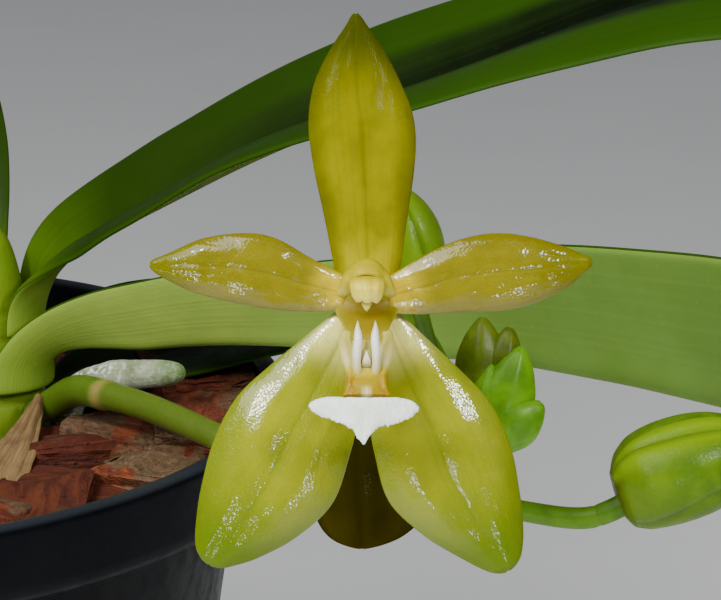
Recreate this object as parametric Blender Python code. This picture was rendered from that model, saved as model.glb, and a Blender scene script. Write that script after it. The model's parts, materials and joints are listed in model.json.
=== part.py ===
"""A small orchid in a plastic nursery pot: two-ranked strap leaves on a short stem in bark,
aerial roots, and a flower spike with an open bloom, a half-open bloom, buds and bracts.

Lengths below are in millimetres and become metres through MM. The origin is the centre of
the pot's underside, +Z up. The bloom has a frame of its own: u to its right as seen by
someone facing it, v up along its dorsal sepal, n out of its face.
"""

import math
import random

import bmesh
import bpy
from mathutils import Matrix, Vector

MM = 0.001
GAP = 0.3
SEED = 11

# Pot
POT_HEIGHT = 105.0
POT_RIM_RADIUS = 62.0
POT_BASE_RADIUS = 43.0
POT_WALL = 1.3
POT_LIP_HEIGHT = 8.0
POT_LEDGE = 2.5
POT_STEP_OUT = 5.5
POT_FLOOR = 2.0
RIM_CHAMFER = 0.7
POT_STEPS = 36
DRAIN_HOLES = 6
DRAIN_RADIUS = 4.0
DRAIN_CIRCLE = 29.0

# Bark
BARK_LEVEL = 94.0
BARK_CLEARANCE = 0.7
HOLE_CLEARANCE = 0.55
CHIP_SPACING = 16.5
CHIP_LENGTH = (17.0, 26.0)
CHIP_THICKNESS = (6.0, 10.0)
CHIP_PROUD = 2.2
CHIP_SUNK = 2.5
CHIP_HOLLOW = 19.0
BARK_HEAP = 5.7
HEAP_HEADING = math.radians(28.0)

# Stem and leaves
STEM_AXIS = (29.0, 8.0)
STEM_BURIED = 5.6
STEM_STEPS = 12
ROOT_ROWS = 14
ROOT_SIDES = 8
LEAF_THICKNESS = 1.3
LEAF_ACROSS = 6
LEAF_ALONG = 20
LEAF_OPENING = 15.0
ROWS_AT_ENDS = 0.55
SHEATH_THICKNESS = 0.7

# Flower stalk and buds
STALK_SIDES = 8
STALK_ROWS = 26
BRACT_THICKNESS = 1.1
PEDICEL_ROWS = 10
BUD_SIDES = 12

# Bloom
BLOOM_CENTRE = (70.5, -92.0, 138.0)
BLOOM_TILT = math.radians(14.0)
TEPAL_THICKNESS = 0.65
SEPAL_LENGTH = 23.2
PETAL_LENGTH = 16.2
RECEPTACLE_RADIUS = 1.35
ANTHER_CENTRE = (0.0, 0.8, 4.05)
ANTHER_RADII = (1.2, 0.95, 0.8)
LIP_HALF_WIDTH = 4.6
LIP_BLADE_THICKNESS = 0.6

# The half-open bloom
HALF_OPEN_BASE = (71.0, -73.0, 129.4)
HALF_OPEN_TIP = (71.6, -76.0, 111.9)
CLOSING_THICKNESS = 0.6


def srgb(value):
    """One sRGB channel, 0 to 1, as linear light."""
    return value / 12.92 if value <= 0.04045 else ((value + 0.055) / 1.055) ** 2.4


def finish(name, colour, roughness, metallic=0.0):
    """A Principled material of an sRGB hex colour, made once for each name."""
    if name in bpy.data.materials:
        return bpy.data.materials[name]
    material = bpy.data.materials.new(name)
    material.use_nodes = True
    shader = material.node_tree.nodes["Principled BSDF"]
    channels = [srgb(int(colour[i : i + 2], 16) / 255) for i in (1, 3, 5)]
    shader.inputs["Base Color"].default_value = (*channels, 1.0)
    shader.inputs["Roughness"].default_value = roughness
    shader.inputs["Metallic"].default_value = metallic
    return material


def clear_scene():
    for obj in list(bpy.data.objects):
        bpy.data.objects.remove(obj)


def add_object(name, bm, material):
    """The bmesh, in millimetres, as a smooth-shaded object in metres."""
    bmesh.ops.scale(bm, vec=(MM, MM, MM), verts=bm.verts)
    mesh = bpy.data.meshes.new(name)
    bm.to_mesh(mesh)
    bm.free()
    mesh.materials.append(material)
    mesh.shade_smooth()
    mesh.set_sharp_from_angle(angle=math.radians(40))
    obj = bpy.data.objects.new(name, mesh)
    bpy.context.scene.collection.objects.link(obj)
    return obj


def applied(obj):
    """The object with its modifiers made part of its mesh."""
    graph = bpy.context.evaluated_depsgraph_get()
    mesh = bpy.data.meshes.new_from_object(obj.evaluated_get(graph))
    old = obj.data
    obj.modifiers.clear()
    obj.data = mesh
    bpy.data.meshes.remove(old)
    return obj


def combine(obj, others, operation, solver="EXACT"):
    """Joins the others to the object, cuts them from it or keeps what they share, then removes them."""
    group = bpy.data.collections.new(obj.name + "_operands")
    bpy.context.scene.collection.children.link(group)
    for other in others:
        bpy.context.scene.collection.objects.unlink(other)
        group.objects.link(other)
    boolean = obj.modifiers.new("combine", "BOOLEAN")
    boolean.operation = operation
    boolean.operand_type = "COLLECTION"
    boolean.collection = group
    boolean.solver = solver
    applied(obj)
    for other in others:
        bpy.data.objects.remove(other)
    bpy.data.collections.remove(group)
    return keep_main_body(obj)


def keep_main_body(obj):
    """Drops every closed shell but the largest: scraps cut loose, and hollows sealed inside."""
    bm = bmesh.new()
    bm.from_mesh(obj.data)
    waiting = set(bm.faces)
    shells = []
    while waiting:
        shell = [waiting.pop()]
        for face in shell:
            for neighbour in {other for edge in face.edges for other in edge.link_faces} & waiting:
                waiting.remove(neighbour)
                shell.append(neighbour)
        shells.append(shell)
    shells.sort(key=len)
    spare = [face for shell in shells[:-1] for face in shell]
    bmesh.ops.delete(bm, geom=spare, context="FACES")
    bm.to_mesh(obj.data)
    bm.free()
    return obj


def blend(stops, s):
    """The value at s of a smooth curve through (place, value, ...) stops."""
    places = [stop[0] for stop in stops]
    last = len(stops) - 1
    k = 0
    while k < last - 1 and s > places[k + 1]:
        k += 1
    before, start, end, after = (stops[min(max(j, 0), last)] for j in (k - 1, k, k + 1, k + 2))
    span = end[0] - start[0]
    t = min(max((s - start[0]) / span, 0.0), 1.0)
    result = []
    for a, b, c, d in zip(before[1:], start[1:], end[1:], after[1:]):
        rise_in = (c - a) / max(end[0] - before[0], 1e-9) * span
        rise_out = (d - b) / max(after[0] - start[0], 1e-9) * span
        value = (2 * t**3 - 3 * t**2 + 1) * b + (t**3 - 2 * t**2 + t) * rise_in
        value += (3 * t**2 - 2 * t**3) * c + (t**3 - t**2) * rise_out
        result.append(value)
    return result[0] if len(result) == 1 else result


def route(points, count):
    """Evenly spaced points on a smooth curve through the given ones."""
    stops = [(0.0, *points[0])]
    for before, point in zip(points, points[1:]):
        stops.append((stops[-1][0] + math.dist(before, point), *point))
    fine = [Vector(blend(stops, stops[-1][0] * i / 300)) for i in range(301)]
    reach = [0.0]
    for before, point in zip(fine, fine[1:]):
        reach.append(reach[-1] + (point - before).length)
    result = []
    k = 0
    for i in range(count):
        target = reach[-1] * i / (count - 1)
        while k < 299 and reach[k + 1] < target:
            k += 1
        share = (target - reach[k]) / max(reach[k + 1] - reach[k], 1e-9)
        result.append(fine[k].lerp(fine[k + 1], share))
    return result


def tangents(places):
    last = len(places) - 1
    return [(places[min(i + 1, last)] - places[max(i - 1, 0)]).normalized() for i in range(last + 1)]


UP = Vector((0.0, 0.0, 1.0))


def sweep(places, sizes, sides, up=UP):
    """A closed solid: an ellipse carried along the places, its half axes (across, along up) at each."""
    bm = bmesh.new()
    ways = tangents(places)
    matrices = []
    for place, way, size in zip(places, ways, sizes):
        across = way.cross(up).normalized()
        upright = across.cross(way)
        half_across, half_up = size
        columns = (across * half_across, upright * half_up, way)
        turn = Matrix([[column[i] for column in columns] for i in range(3)]).to_4x4()
        matrices.append(Matrix.Translation(place) @ turn)
    bmesh.ops.create_circle(bm, cap_ends=True, segments=sides, radius=1.0, matrix=matrices[0])
    bm.faces.ensure_lookup_table()
    cap = bm.faces[0]
    for k in range(1, len(matrices)):
        step = matrices[k] @ matrices[k - 1].inverted()
        grown = bmesh.ops.extrude_face_region(bm, geom=[cap])["geom"]
        if k > 1:
            bmesh.ops.delete(bm, geom=[cap], context="FACES_ONLY")
        cap = next(item for item in grown if isinstance(item, bmesh.types.BMFace))
        bmesh.ops.transform(bm, matrix=step, verts=list(cap.verts))
    bmesh.ops.recalc_face_normals(bm, faces=bm.faces)
    return bm


def round_sweep(points, radii, sides, count, up=UP):
    """A round tube whose radius follows (place, radius) stops along it."""
    places = route(points, count)
    sizes = [(blend(radii, i / (count - 1)),) * 2 for i in range(count)]
    return sweep(places, sizes, sides, up)


def blade(across, along, place):
    """An open sheet of triangles: place(x, s) gives a point, x from -1 to 1, s from 0 to 1 along."""
    bm = bmesh.new()
    bmesh.ops.create_grid(bm, x_segments=across, y_segments=along, size=0.5)
    for vertex in bm.verts:
        vertex.co = place(vertex.co.x * 2, vertex.co.y + 0.5)
    bmesh.ops.triangulate(bm, faces=bm.faces, quad_method="SHORT_EDGE")
    return bm


def thicken(obj, thickness):
    solidify = obj.modifiers.new("thickness", "SOLIDIFY")
    solidify.thickness = thickness * MM
    solidify.offset = 0.0
    solidify.use_rim = True
    return obj


def ellipsoid(centre, radii, segments=12, rings=8, turn=None):
    bm = bmesh.new()
    matrix = Matrix.Translation(centre) @ (turn or Matrix()) @ Matrix.Diagonal((*radii, 1.0))
    bmesh.ops.create_uvsphere(bm, u_segments=segments, v_segments=rings, radius=1.0, matrix=matrix)
    return bm


def lathe(profile, steps):
    """A solid turned about the Z axis from (radius, height) points that start and end on it."""
    bm = bmesh.new()
    points = [bm.verts.new((radius, 0.0, height)) for radius, height in profile]
    for start, end in zip(points, points[1:]):
        bm.edges.new((start, end))
    bmesh.ops.spin(
        bm,
        geom=list(bm.verts) + list(bm.edges),
        axis=UP,
        cent=(0.0, 0.0, 0.0),
        angle=math.tau,
        steps=steps,
        use_merge=True,
    )
    bmesh.ops.remove_doubles(bm, verts=bm.verts, dist=1e-4)
    bmesh.ops.recalc_face_normals(bm, faces=bm.faces)
    return bm


# The wall stops at the shoulder, a ledge below the wider lip
SHOULDER = POT_HEIGHT - POT_LIP_HEIGHT - POT_LEDGE
WALL_TOP = POT_RIM_RADIUS - POT_STEP_OUT
INNER_TOP = POT_RIM_RADIUS - 2 * POT_WALL


def pot_inner_radius(height):
    """The radius of the pot's inner face at a height above its floor."""
    if height >= SHOULDER + POT_LEDGE:
        return INNER_TOP
    share = min(height, SHOULDER) / SHOULDER
    return POT_BASE_RADIUS + (WALL_TOP - POT_BASE_RADIUS) * share - POT_WALL


def make_pot():
    profile = [
        (0.0, 0.0),
        (POT_BASE_RADIUS - POT_FLOOR, 0.0),
        (POT_BASE_RADIUS, POT_FLOOR),
        (WALL_TOP, SHOULDER),
        (POT_RIM_RADIUS - 1.2, SHOULDER + POT_LEDGE),
        (POT_RIM_RADIUS, SHOULDER + POT_LEDGE + 1.0),
        (POT_RIM_RADIUS, POT_HEIGHT - RIM_CHAMFER),
        (POT_RIM_RADIUS - RIM_CHAMFER, POT_HEIGHT),
        (INNER_TOP + RIM_CHAMFER, POT_HEIGHT),
        (INNER_TOP, POT_HEIGHT - RIM_CHAMFER),
        (INNER_TOP, SHOULDER + POT_LEDGE),
        (WALL_TOP - POT_WALL, SHOULDER),
        (POT_BASE_RADIUS - POT_WALL, POT_FLOOR),
        (0.0, POT_FLOOR),
    ]
    pot = add_object("pot", lathe(profile, POT_STEPS), finish("pot_plastic", "#1b1d24", 0.38))
    drains = []
    for i in range(DRAIN_HOLES):
        angle = math.tau * i / DRAIN_HOLES
        centre = (DRAIN_CIRCLE * math.cos(angle), DRAIN_CIRCLE * math.sin(angle), POT_FLOOR / 2)
        bm = bmesh.new()
        bmesh.ops.create_cone(
            bm,
            cap_ends=True,
            segments=8,
            radius1=DRAIN_RADIUS,
            radius2=DRAIN_RADIUS,
            depth=8.0,
            matrix=Matrix.Translation(centre),
        )
        drains.append(add_object(f"drain_{i}", bm, finish("pot_plastic", "#1b1d24", 0.38)))
    return combine(pot, drains, "DIFFERENCE")


def chip_layout():
    """(centre, length, width, thickness, turn) of each chip that shows, on a shaken hexagon grid."""
    draw = random.Random(SEED)
    reach = POT_RIM_RADIUS - 6.0
    row_step = CHIP_SPACING * 0.87
    rows = int(reach / row_step) + 1
    chips = []
    for row in range(-rows, rows + 1):
        for column in range(-rows - 1, rows + 2):
            x = (column + 0.5 * (row % 2)) * CHIP_SPACING + draw.uniform(-2.5, 2.5)
            y = row * row_step + draw.uniform(-2.5, 2.5)
            length = draw.uniform(*CHIP_LENGTH)
            width = length * draw.uniform(0.5, 0.8)
            thickness = draw.uniform(*CHIP_THICKNESS)
            heading = draw.uniform(0.0, math.pi)
            lean = (draw.uniform(-0.22, 0.22), draw.uniform(-0.22, 0.22))
            proud = draw.uniform(-1.0, CHIP_PROUD)
            if math.hypot(x, y) > reach:
                continue
            near_stem = math.dist((x, y), STEM_AXIS) < CHIP_HOLLOW
            toward = max(math.cos(math.atan2(y, x) - HEAP_HEADING), 0.0) * min(math.hypot(x, y) / 40.0, 1.0)
            height = BARK_LEVEL + (-CHIP_SUNK if near_stem else proud + BARK_HEAP * toward**4)
            turn = Matrix.Rotation(heading, 4, "Z") @ Matrix.Rotation(lean[0], 4, "X")
            turn = turn @ Matrix.Rotation(lean[1], 4, "Y")
            chips.append(((x, y, height), length, width, thickness, turn))
    return chips


def bark_chip(centre, length, width, thickness, turn, draw):
    """A split piece of bark: a slab whose corners are knocked off unevenly."""
    bm = bmesh.new()
    bmesh.ops.create_cube(bm, size=1.0)
    for vertex in bm.verts:
        vertex.co.x *= length * (1.0 - draw.uniform(0.0, 0.3))
        vertex.co.y *= width * (1.0 - draw.uniform(0.0, 0.3))
        vertex.co.z *= thickness * (1.0 - draw.uniform(0.0, 0.15))
    bmesh.ops.triangulate(bm, faces=bm.faces)
    bmesh.ops.transform(bm, matrix=Matrix.Translation(centre) @ turn, verts=bm.verts)
    return bm


def bark_bowl(clearance, top):
    """The solid that fills the pot to a height, a clearance inside its wall."""
    floor = POT_FLOOR + clearance
    profile = [(0.0, floor), (pot_inner_radius(POT_FLOOR) - clearance, floor)]
    if top > SHOULDER:
        profile.append((pot_inner_radius(SHOULDER) - clearance, SHOULDER))
        profile.append((pot_inner_radius(POT_HEIGHT) - clearance, SHOULDER + POT_LEDGE))
    profile.append((pot_inner_radius(top) - clearance, top))
    profile.append((0.0, top))
    return lathe(profile, POT_STEPS)


def make_bark(holes):
    """A bed of bark with its top chips raised from it, cut clear of what stands in it."""
    brown = finish("bark", "#6b3420", 0.85)
    draw = random.Random(SEED + 1)
    bed = add_object("bark_bed", bark_bowl(BARK_CLEARANCE, BARK_LEVEL - 1.5), brown)
    chips = []
    for k, chip in enumerate(chip_layout()):
        chips.append(add_object(f"chip_{k}", bark_chip(*chip, draw), brown))
    combine(bed, chips, "UNION", "MANIFOLD")
    limit = add_object("bark_limit", bark_bowl(BARK_CLEARANCE, POT_HEIGHT + 5.0), brown)
    combine(bed, [limit], "INTERSECT", "MANIFOLD")
    return combine(bed, holes, "DIFFERENCE", "MANIFOLD")


# The stem's radius at heights: (height, radius)
STEM_PROFILE = [
    (78.0, STEM_BURIED),
    (96.0, 6.2),
    (101.0, 6.0),
    (105.0, 5.5),
    (109.0, 4.8),
    (113.0, 4.1),
    (117.0, 3.3),
    (120.0, 2.3),
    (121.5, 1.1),
]


def leaf_blade(places, ways, shape, x, s):
    """A point of an open blade: x across from the far margin to the near one, s from foot to tip."""
    k = round(s * (len(places) - 1))
    side = ways[k].cross(UP).normalized()
    lift = side.cross(ways[k])
    half_width, near_rise, far_rise, near_curl, far_curl = blend(shape, s)
    angle = math.radians(near_rise if x > 0 else far_rise)
    curl = math.radians(near_curl if x > 0 else far_curl)
    reach = abs(x)
    bend = angle - curl * reach * 0.5
    flat = reach * half_width * math.cos(bend)
    rise = reach * half_width * math.sin(bend)
    return places[k] + side * math.copysign(flat, x) + lift * rise


def make_leaf(name, foot_height, clasp, keel, shape, material):
    """A strap leaf, folded along its keel, whose foot clasps the stem and opens into the blade.
    clasp is how far the foot reaches round the stem to each side, in degrees. shape holds stops
    of (place, half width, near rise, far rise, near curl, far curl), the angles in degrees."""
    axis = Vector((*STEM_AXIS, 0.0))
    radius = blend(STEM_PROFILE, foot_height) + GAP + LEAF_THICKNESS / 2 + 0.15
    heading = math.atan2(keel[0][1] - axis.y, keel[0][0] - axis.x)
    foot = axis + Vector((radius * math.cos(heading), radius * math.sin(heading), foot_height))
    places = route([tuple(foot), *keel], 281)
    ways = tangents(places)
    length = sum((b - a).length for a, b in zip(places, places[1:]))

    def place(x, u):
        s = u - ROWS_AT_ENDS / math.tau * math.sin(math.tau * u)
        opened = min(s * length / LEAF_OPENING, 1.0)
        opened = opened * opened * (3.0 - 2.0 * opened)
        angle = heading - x * math.radians(clasp)
        round_stem = axis + Vector((radius * math.cos(angle), radius * math.sin(angle), foot_height))
        round_stem.z += 0.8 * s * length
        return round_stem.lerp(leaf_blade(places, ways, shape, x, s), opened)

    return thicken(add_object(name, blade(LEAF_ACROSS, LEAF_ALONG, place), material), LEAF_THICKNESS)


UPPER_LEAF = [
    (0.0, 4.5, 58, 58, 0, 0),
    (0.04, 8.0, 14, 46, 28, 0),
    (0.1, 9.3, 14, 48, 34, 0),
    (0.16, 10.6, 22, 46, 38, 0),
    (0.28, 13.3, 22, 37, 48, 6),
    (0.45, 16.0, 12, 28, 46, 12),
    (0.65, 17.5, 11, 22, 36, 20),
    (0.85, 14.0, 14, 18, 25, 25),
    (0.95, 7.5, 16, 18, 20, 20),
    (1.0, 1.6, 18, 18, 10, 10),
]
PALE_LEAF = [
    (0.0, 4.5, 58, 58, 0, 0),
    (0.05, 8.2, 60, 50, 0, 0),
    (0.1, 9.6, 63, 38, 0, 0),
    (0.22, 11.8, 70, 14, 0, 8),
    (0.4, 16.3, 73, -14, 0, 10),
    (0.55, 18.5, 72, -22, 0, 15),
    (0.75, 17.5, 55, -16, 10, 15),
    (0.9, 11.5, 34, 2, 15, 15),
    (0.97, 5.5, 22, 12, 10, 10),
    (1.0, 1.6, 18, 16, 5, 5),
]
LOW_LEAF = [
    (0.0, 4.0, 30, 50, 0, 0),
    (0.08, 7.0, 10, 30, 6, 0),
    (0.25, 11.0, 8, 24, 12, 10),
    (0.5, 14.0, 12, 18, 20, 20),
    (0.75, 14.5, 14, 14, 25, 25),
    (0.9, 10.0, 14, 14, 20, 20),
    (0.97, 5.0, 14, 14, 10, 10),
    (1.0, 1.6, 14, 14, 5, 5),
]
BROAD_LEAF = [
    (0.0, 4.5, 58, 58, 0, 0),
    (0.07, 8.0, 44, 44, 5, 5),
    (0.25, 12.0, 24, 24, 20, 20),
    (0.5, 17.0, 16, 16, 25, 25),
    (0.75, 17.5, 14, 14, 25, 25),
    (0.9, 12.0, 14, 14, 20, 20),
    (0.97, 6.0, 14, 14, 10, 10),
    (1.0, 1.6, 14, 14, 5, 5),
]
LEAVES = {
    # name: (height of the foot, clasp, keel after the foot, shape)
    "leaf_upper_right": (
        110.0,
        62,
        [
            (37.2, 7.4, 116.2),
            (40.7, 6.7, 120.0),
            (48.0, 3.7, 124.8),
            (64.0, -2.3, 133.5),
            (86.0, -9.2, 143.2),
            (107.0, -15.5, 151.0),
            (150.0, -31.0, 157.0),
            (190.0, -47.0, 149.0),
            (222.0, -62.0, 128.0),
        ],
        UPPER_LEAF,
    ),
    "leaf_pale_right": (
        103.9,
        58,
        [
            (38.0, 3.2, 107.4),
            (46.0, 0.4, 110.0),
            (66.0, -10.5, 112.6),
            (87.0, -24.7, 114.4),
            (105.0, -41.0, 114.8),
            (132.0, -64.0, 112.0),
            (160.0, -86.0, 102.0),
            (184.0, -104.0, 85.0),
        ],
        PALE_LEAF,
    ),
    "leaf_low_right": (
        99.5,
        20,
        [
            (38.5, 10.7, 100.7),
            (43.0, 11.5, 103.0),
            (50.0, 11.8, 106.0),
            (61.0, 17.5, 107.8),
            (76.0, 29.0, 107.5),
            (93.0, 43.0, 101.0),
            (107.0, 56.0, 89.0),
        ],
        LOW_LEAF,
    ),
    "leaf_top_left": (
        112.9,
        48,
        [
            (24.6, 15.4, 119.5),
            (17.5, 26.0, 133.0),
            (4.0, 43.0, 143.5),
            (-15.0, 64.0, 147.5),
            (-33.0, 86.0, 139.5),
            (-46.0, 104.0, 123.5),
        ],
        BROAD_LEAF,
    ),
    "leaf_middle_left": (
        106.4,
        55,
        [
            (18.0, 13.6, 112.0),
            (3.0, 22.0, 119.0),
            (-26.0, 38.0, 123.0),
            (-58.0, 56.0, 116.0),
            (-86.0, 71.0, 98.0),
            (-102.0, 79.0, 78.0),
        ],
        BROAD_LEAF,
    ),
    "leaf_low_left": (
        101.2,
        40,
        [
            (18.0, 0.0, 106.0),
            (0.0, -13.0, 112.0),
            (-28.0, -31.0, 113.0),
            (-58.0, -50.0, 104.0),
            (-84.0, -67.0, 86.0),
            (-98.0, -77.0, 68.0),
        ],
        BROAD_LEAF,
    ),
}


def make_leaves():
    fresh = finish("leaf", "#4a6b18", 0.35)
    for name, (foot_height, clasp, keel, shape) in LEAVES.items():
        make_leaf(name, foot_height, clasp, keel, shape, fresh)


def on_stem(profile):
    """A round solid about the stem's axis, from (height, radius) stops."""
    bottom, top = profile[0][0], profile[-1][0]
    outline = [(0.0, bottom), *((radius, height) for height, radius in profile), (0.0, top)]
    bm = lathe(outline, STEM_STEPS)
    bmesh.ops.translate(bm, vec=(*STEM_AXIS, 0.0), verts=bm.verts)
    return bm


def make_stem():
    return add_object("stem", on_stem(STEM_PROFILE), finish("leaf_base", "#a9be4a", 0.45))


ROOTS = {
    # name: (points from the stem until it dives into the bark or ends in the air, radius)
    "root_back": (
        [
            (32.6, 13.9, 98.1),
            (37.0, 20.5, 101.2),
            (43.0, 25.5, 102.6),
            (46.5, 25.0, 101.4),
            (48.0, 20.0, 96.0),
            (48.0, 14.0, 88.0),
        ],
        1.9,
    ),
    "root_left": (
        [
            (22.4, 9.2, 98.0),
            (12.0, 12.0, 101.6),
            (0.0, 11.0, 102.8),
            (-12.0, 4.0, 101.8),
            (-22.0, -6.0, 96.0),
            (-26.0, -12.0, 86.0),
        ],
        2.1,
    ),
    "root_front": (
        [
            (26.1, 2.0, 98.0),
            (20.0, -9.0, 101.4),
            (13.0, -23.0, 102.6),
            (8.0, -35.0, 99.0),
            (6.0, -42.0, 87.0),
        ],
        1.8,
    ),
    "root_right": (
        [
            (35.3, 5.1, 97.9),
            (38.3, 4.8, 99.8),
            (39.6, 4.2, 102.6),
            (41.0, 2.6, 105.2),
            (44.0, -0.6, 106.8),
            (48.0, -3.9, 107.7),
            (52.4, -6.5, 108.6),
        ],
        1.7,
    ),
}


def root_sweep(points, radius, grow):
    """A root; one grown by a clearance also runs a step deeper."""
    places = route(points, ROOT_ROWS)
    taper = [(0.0, 0.8), (0.2, 1.0), (1.0, 0.9)]
    sizes = [(radius * blend(taper, i / ROOT_ROWS) + grow,) * 2 for i in range(ROOT_ROWS)]
    kept = ROOT_ROWS if grow else ROOT_ROWS - 1
    return sweep(places[:kept], sizes[:kept], ROOT_SIDES, Vector((0.3, 0.9, 0.1)))


def make_roots():
    silver = finish("root", "#b9bfae", 0.7)
    for name, (points, radius) in ROOTS.items():
        add_object(name, root_sweep(points, radius, 0.0), silver)


def standing_holes():
    """Solids a clearance larger than the stem and roots, for cutting the bark clear of them."""
    spare = finish("bark", "#6b3420", 0.85)
    wide = [(height, radius + HOLE_CLEARANCE) for height, radius in STEM_PROFILE]
    wide[0] = (STEM_PROFILE[0][0] - HOLE_CLEARANCE, STEM_BURIED + HOLE_CLEARANCE)
    holes = [add_object("stem_hole", on_stem(wide), spare)]
    for name, (points, radius) in ROOTS.items():
        holes.append(add_object(name + "_hole", root_sweep(points, radius, HOLE_CLEARANCE), spare))
    return holes


def make_dried_sheath():
    """The dry papery remains of an old leaf base, at the front of the stem's foot."""
    keel = route([(30.8, 0.2, 101.6), (31.2, -2.8, 100.6), (30.6, -7.0, 100.3), (29.5, -11.5, 101.0)], 9)
    ways = tangents(keel)

    def place(x, s):
        k = min(round(s * 8), 8)
        side = ways[k].cross(UP).normalized()
        half_width = blend([(0.0, 3.2), (0.5, 4.6), (0.85, 3.4), (1.0, 1.2)], s)
        droop = 1.2 * x * x * (1.0 - 0.5 * s)
        return keel[k] + side * x * half_width + UP * (1.6 - droop)

    tan = finish("dry_sheath", "#c79a6b", 0.8)
    return thicken(add_object("dried_sheath", blade(4, 8, place), tan), SHEATH_THICKNESS)


SPIKE_ROUTE = [
    (34.4, 3.7, 101.0),
    (36.6, 1.1, 103.2),
    (39.4, -2.9, 105.7),
    (42.9, -8.1, 106.6),
    (48.0, -15.3, 107.2),
    (55.1, -27.4, 107.7),
    (63.1, -40.7, 108.2),
    (70.9, -53.6, 110.1),
    (77.3, -64.0, 114.0),
    (80.8, -69.0, 118.6),
    (82.2, -70.0, 123.0),
    (81.9, -69.6, 127.6),
]
SPIKE_RADIUS = [(0.0, 1.6), (0.25, 1.45), (0.75, 1.3), (0.87, 1.6), (0.95, 1.8), (1.0, 0.9)]


def bract(foot, way, out, length, half_width):
    """A fleshy pointed scale that sits on the stalk at its foot and points along way, bulging out."""
    places = []
    sizes = []
    for s in (0.0, 0.2, 0.45, 0.7, 0.9, 1.0):
        places.append(foot + way * (length * s) + out * (0.5 * math.sin(math.pi * s)))
        width = half_width * blend([(0.0, 0.8), (0.45, 1.0), (0.8, 0.55), (1.0, 0.12)], s)
        sizes.append((width, BRACT_THICKNESS * (1.0 - 0.75 * s)))
    return sweep(places, sizes, 8, out)


BRACTS = [
    # (foot, direction it points, direction it bulges, length, half width)
    ((42.3, -7.3, 106.5), (0.5, -0.8, 0.3), (0.2, -0.3, 0.9), 4.0, 1.9),
    ((81.7, -70.0, 125.9), (-0.18, 0.24, 0.95), (-0.45, -0.85, 0.1), 5.0, 1.9),
    ((82.3, -69.9, 126.4), (0.3, 0.24, 0.93), (0.35, -0.9, 0.2), 3.4, 1.5),
    ((82.2, -71.2, 121.3), (0.3, 0.23, 0.92), (0.1, -0.97, 0.2), 7.0, 2.8),
    ((82.0, -70.8, 120.4), (0.8, 0.15, 0.58), (0.1, -0.97, 0.2), 4.6, 2.2),
    ((80.0, -68.6, 116.6), (-0.2, -0.5, 0.85), (-0.7, -0.7, 0.0), 3.6, 1.8),
]


def make_spike():
    """The flower stalk, from the leaf axil to its growing tip, with its node ring and bracts."""
    green = finish("stalk", "#7f9a1a", 0.45)
    stalk = add_object("spike", round_sweep(SPIKE_ROUTE, SPIKE_RADIUS, STALK_SIDES, STALK_ROWS), green)
    pieces = []
    for k, (foot, way, out, length, half_width) in enumerate(BRACTS):
        ways = Vector(way).normalized(), Vector(out).normalized()
        pieces.append(add_object(f"bract_{k}", bract(Vector(foot), *ways, length, half_width), green))
    return combine(stalk, pieces, "UNION", "MANIFOLD")


def bloom_frame():
    """The matrix from the bloom's (u, v, n) to the plant's frame."""
    tilt, lean = math.cos(BLOOM_TILT), math.sin(BLOOM_TILT)
    columns = ((1, 0, 0), (0, lean, tilt), (0, -tilt, lean))
    turn = Matrix([[column[i] for column in columns] for i in range(3)]).to_4x4()
    return Matrix.Translation(BLOOM_CENTRE) @ turn


def tepal(name, foot, heading, length, shape, material, across=6, along=12):
    """A sepal or petal in the bloom's frame. heading is its angle from straight up, in degrees,
    anticlockwise. shape holds stops of (place, half width, middle's sideways shift, middle's n,
    how far the margins lie behind the middle)."""
    frame = bloom_frame()
    angle = math.radians(heading)
    way = Vector((-math.sin(angle), math.cos(angle), 0.0))
    side = Vector((math.cos(angle), math.sin(angle), 0.0))

    def place(x, s):
        half_width, shift, depth, roll = blend(shape, s)
        local = Vector((*foot, 0.0)) + way * (length * s) + side * (x * half_width + shift)
        local.z = depth - roll * x * x
        return frame @ local

    return thicken(add_object(name, blade(across, along, place), material), TEPAL_THICKNESS)


DORSAL_SEPAL = [
    (0.0, 2.6, 0.3, -1.9, 0.3),
    (0.2, 3.35, 0.4, -1.2, 0.7),
    (0.45, 4.25, 0.45, -0.5, 1.0),
    (0.6, 4.3, 0.3, -0.3, 1.1),
    (0.74, 3.45, 0.05, -0.5, 1.0),
    (0.87, 2.05, 0.0, -0.9, 0.6),
    (0.96, 0.8, 0.0, -1.1, 0.2),
    (1.0, 0.25, 0.0, -1.1, 0.05),
]
LEFT_PETAL = [
    (0.0, 1.35, 0.0, -0.7, 0.2),
    (0.2, 2.25, 0.25, -0.1, 0.5),
    (0.4, 2.95, 0.75, 0.2, 0.8),
    (0.55, 2.9, 0.8, 0.2, 0.9),
    (0.75, 2.3, 0.5, -0.2, 0.8),
    (0.88, 1.35, 0.15, -0.6, 0.4),
    (0.96, 0.65, 0.0, -0.8, 0.2),
    (1.0, 0.2, 0.0, -0.9, 0.05),
]
RIGHT_PETAL = [
    (0.0, 1.45, 0.0, -0.7, 0.2),
    (0.15, 2.25, -0.25, -0.1, 0.5),
    (0.35, 2.95, -0.6, 0.3, 0.8),
    (0.55, 3.25, -0.45, 0.3, 0.9),
    (0.73, 2.65, -0.2, 0.0, 0.9),
    (0.88, 1.6, 0.0, -0.5, 0.5),
    (0.96, 0.7, 0.0, -0.8, 0.2),
    (1.0, 0.2, 0.0, -0.9, 0.05),
]
LEFT_SEPAL = [
    (0.0, 1.3, 0.0, -1.6, 0.2),
    (0.1, 2.45, -0.25, -1.25, 0.6),
    (0.27, 4.2, -0.45, -0.7, 1.3),
    (0.43, 5.35, -0.4, -0.3, 1.7),
    (0.6, 5.65, -0.75, -0.4, 1.7),
    (0.77, 4.5, -0.6, -0.8, 1.4),
    (0.9, 2.9, -0.2, -1.4, 0.9),
    (0.97, 1.6, 0.1, -1.8, 0.4),
    (1.0, 0.5, 0.1, -2.0, 0.1),
]
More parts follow.
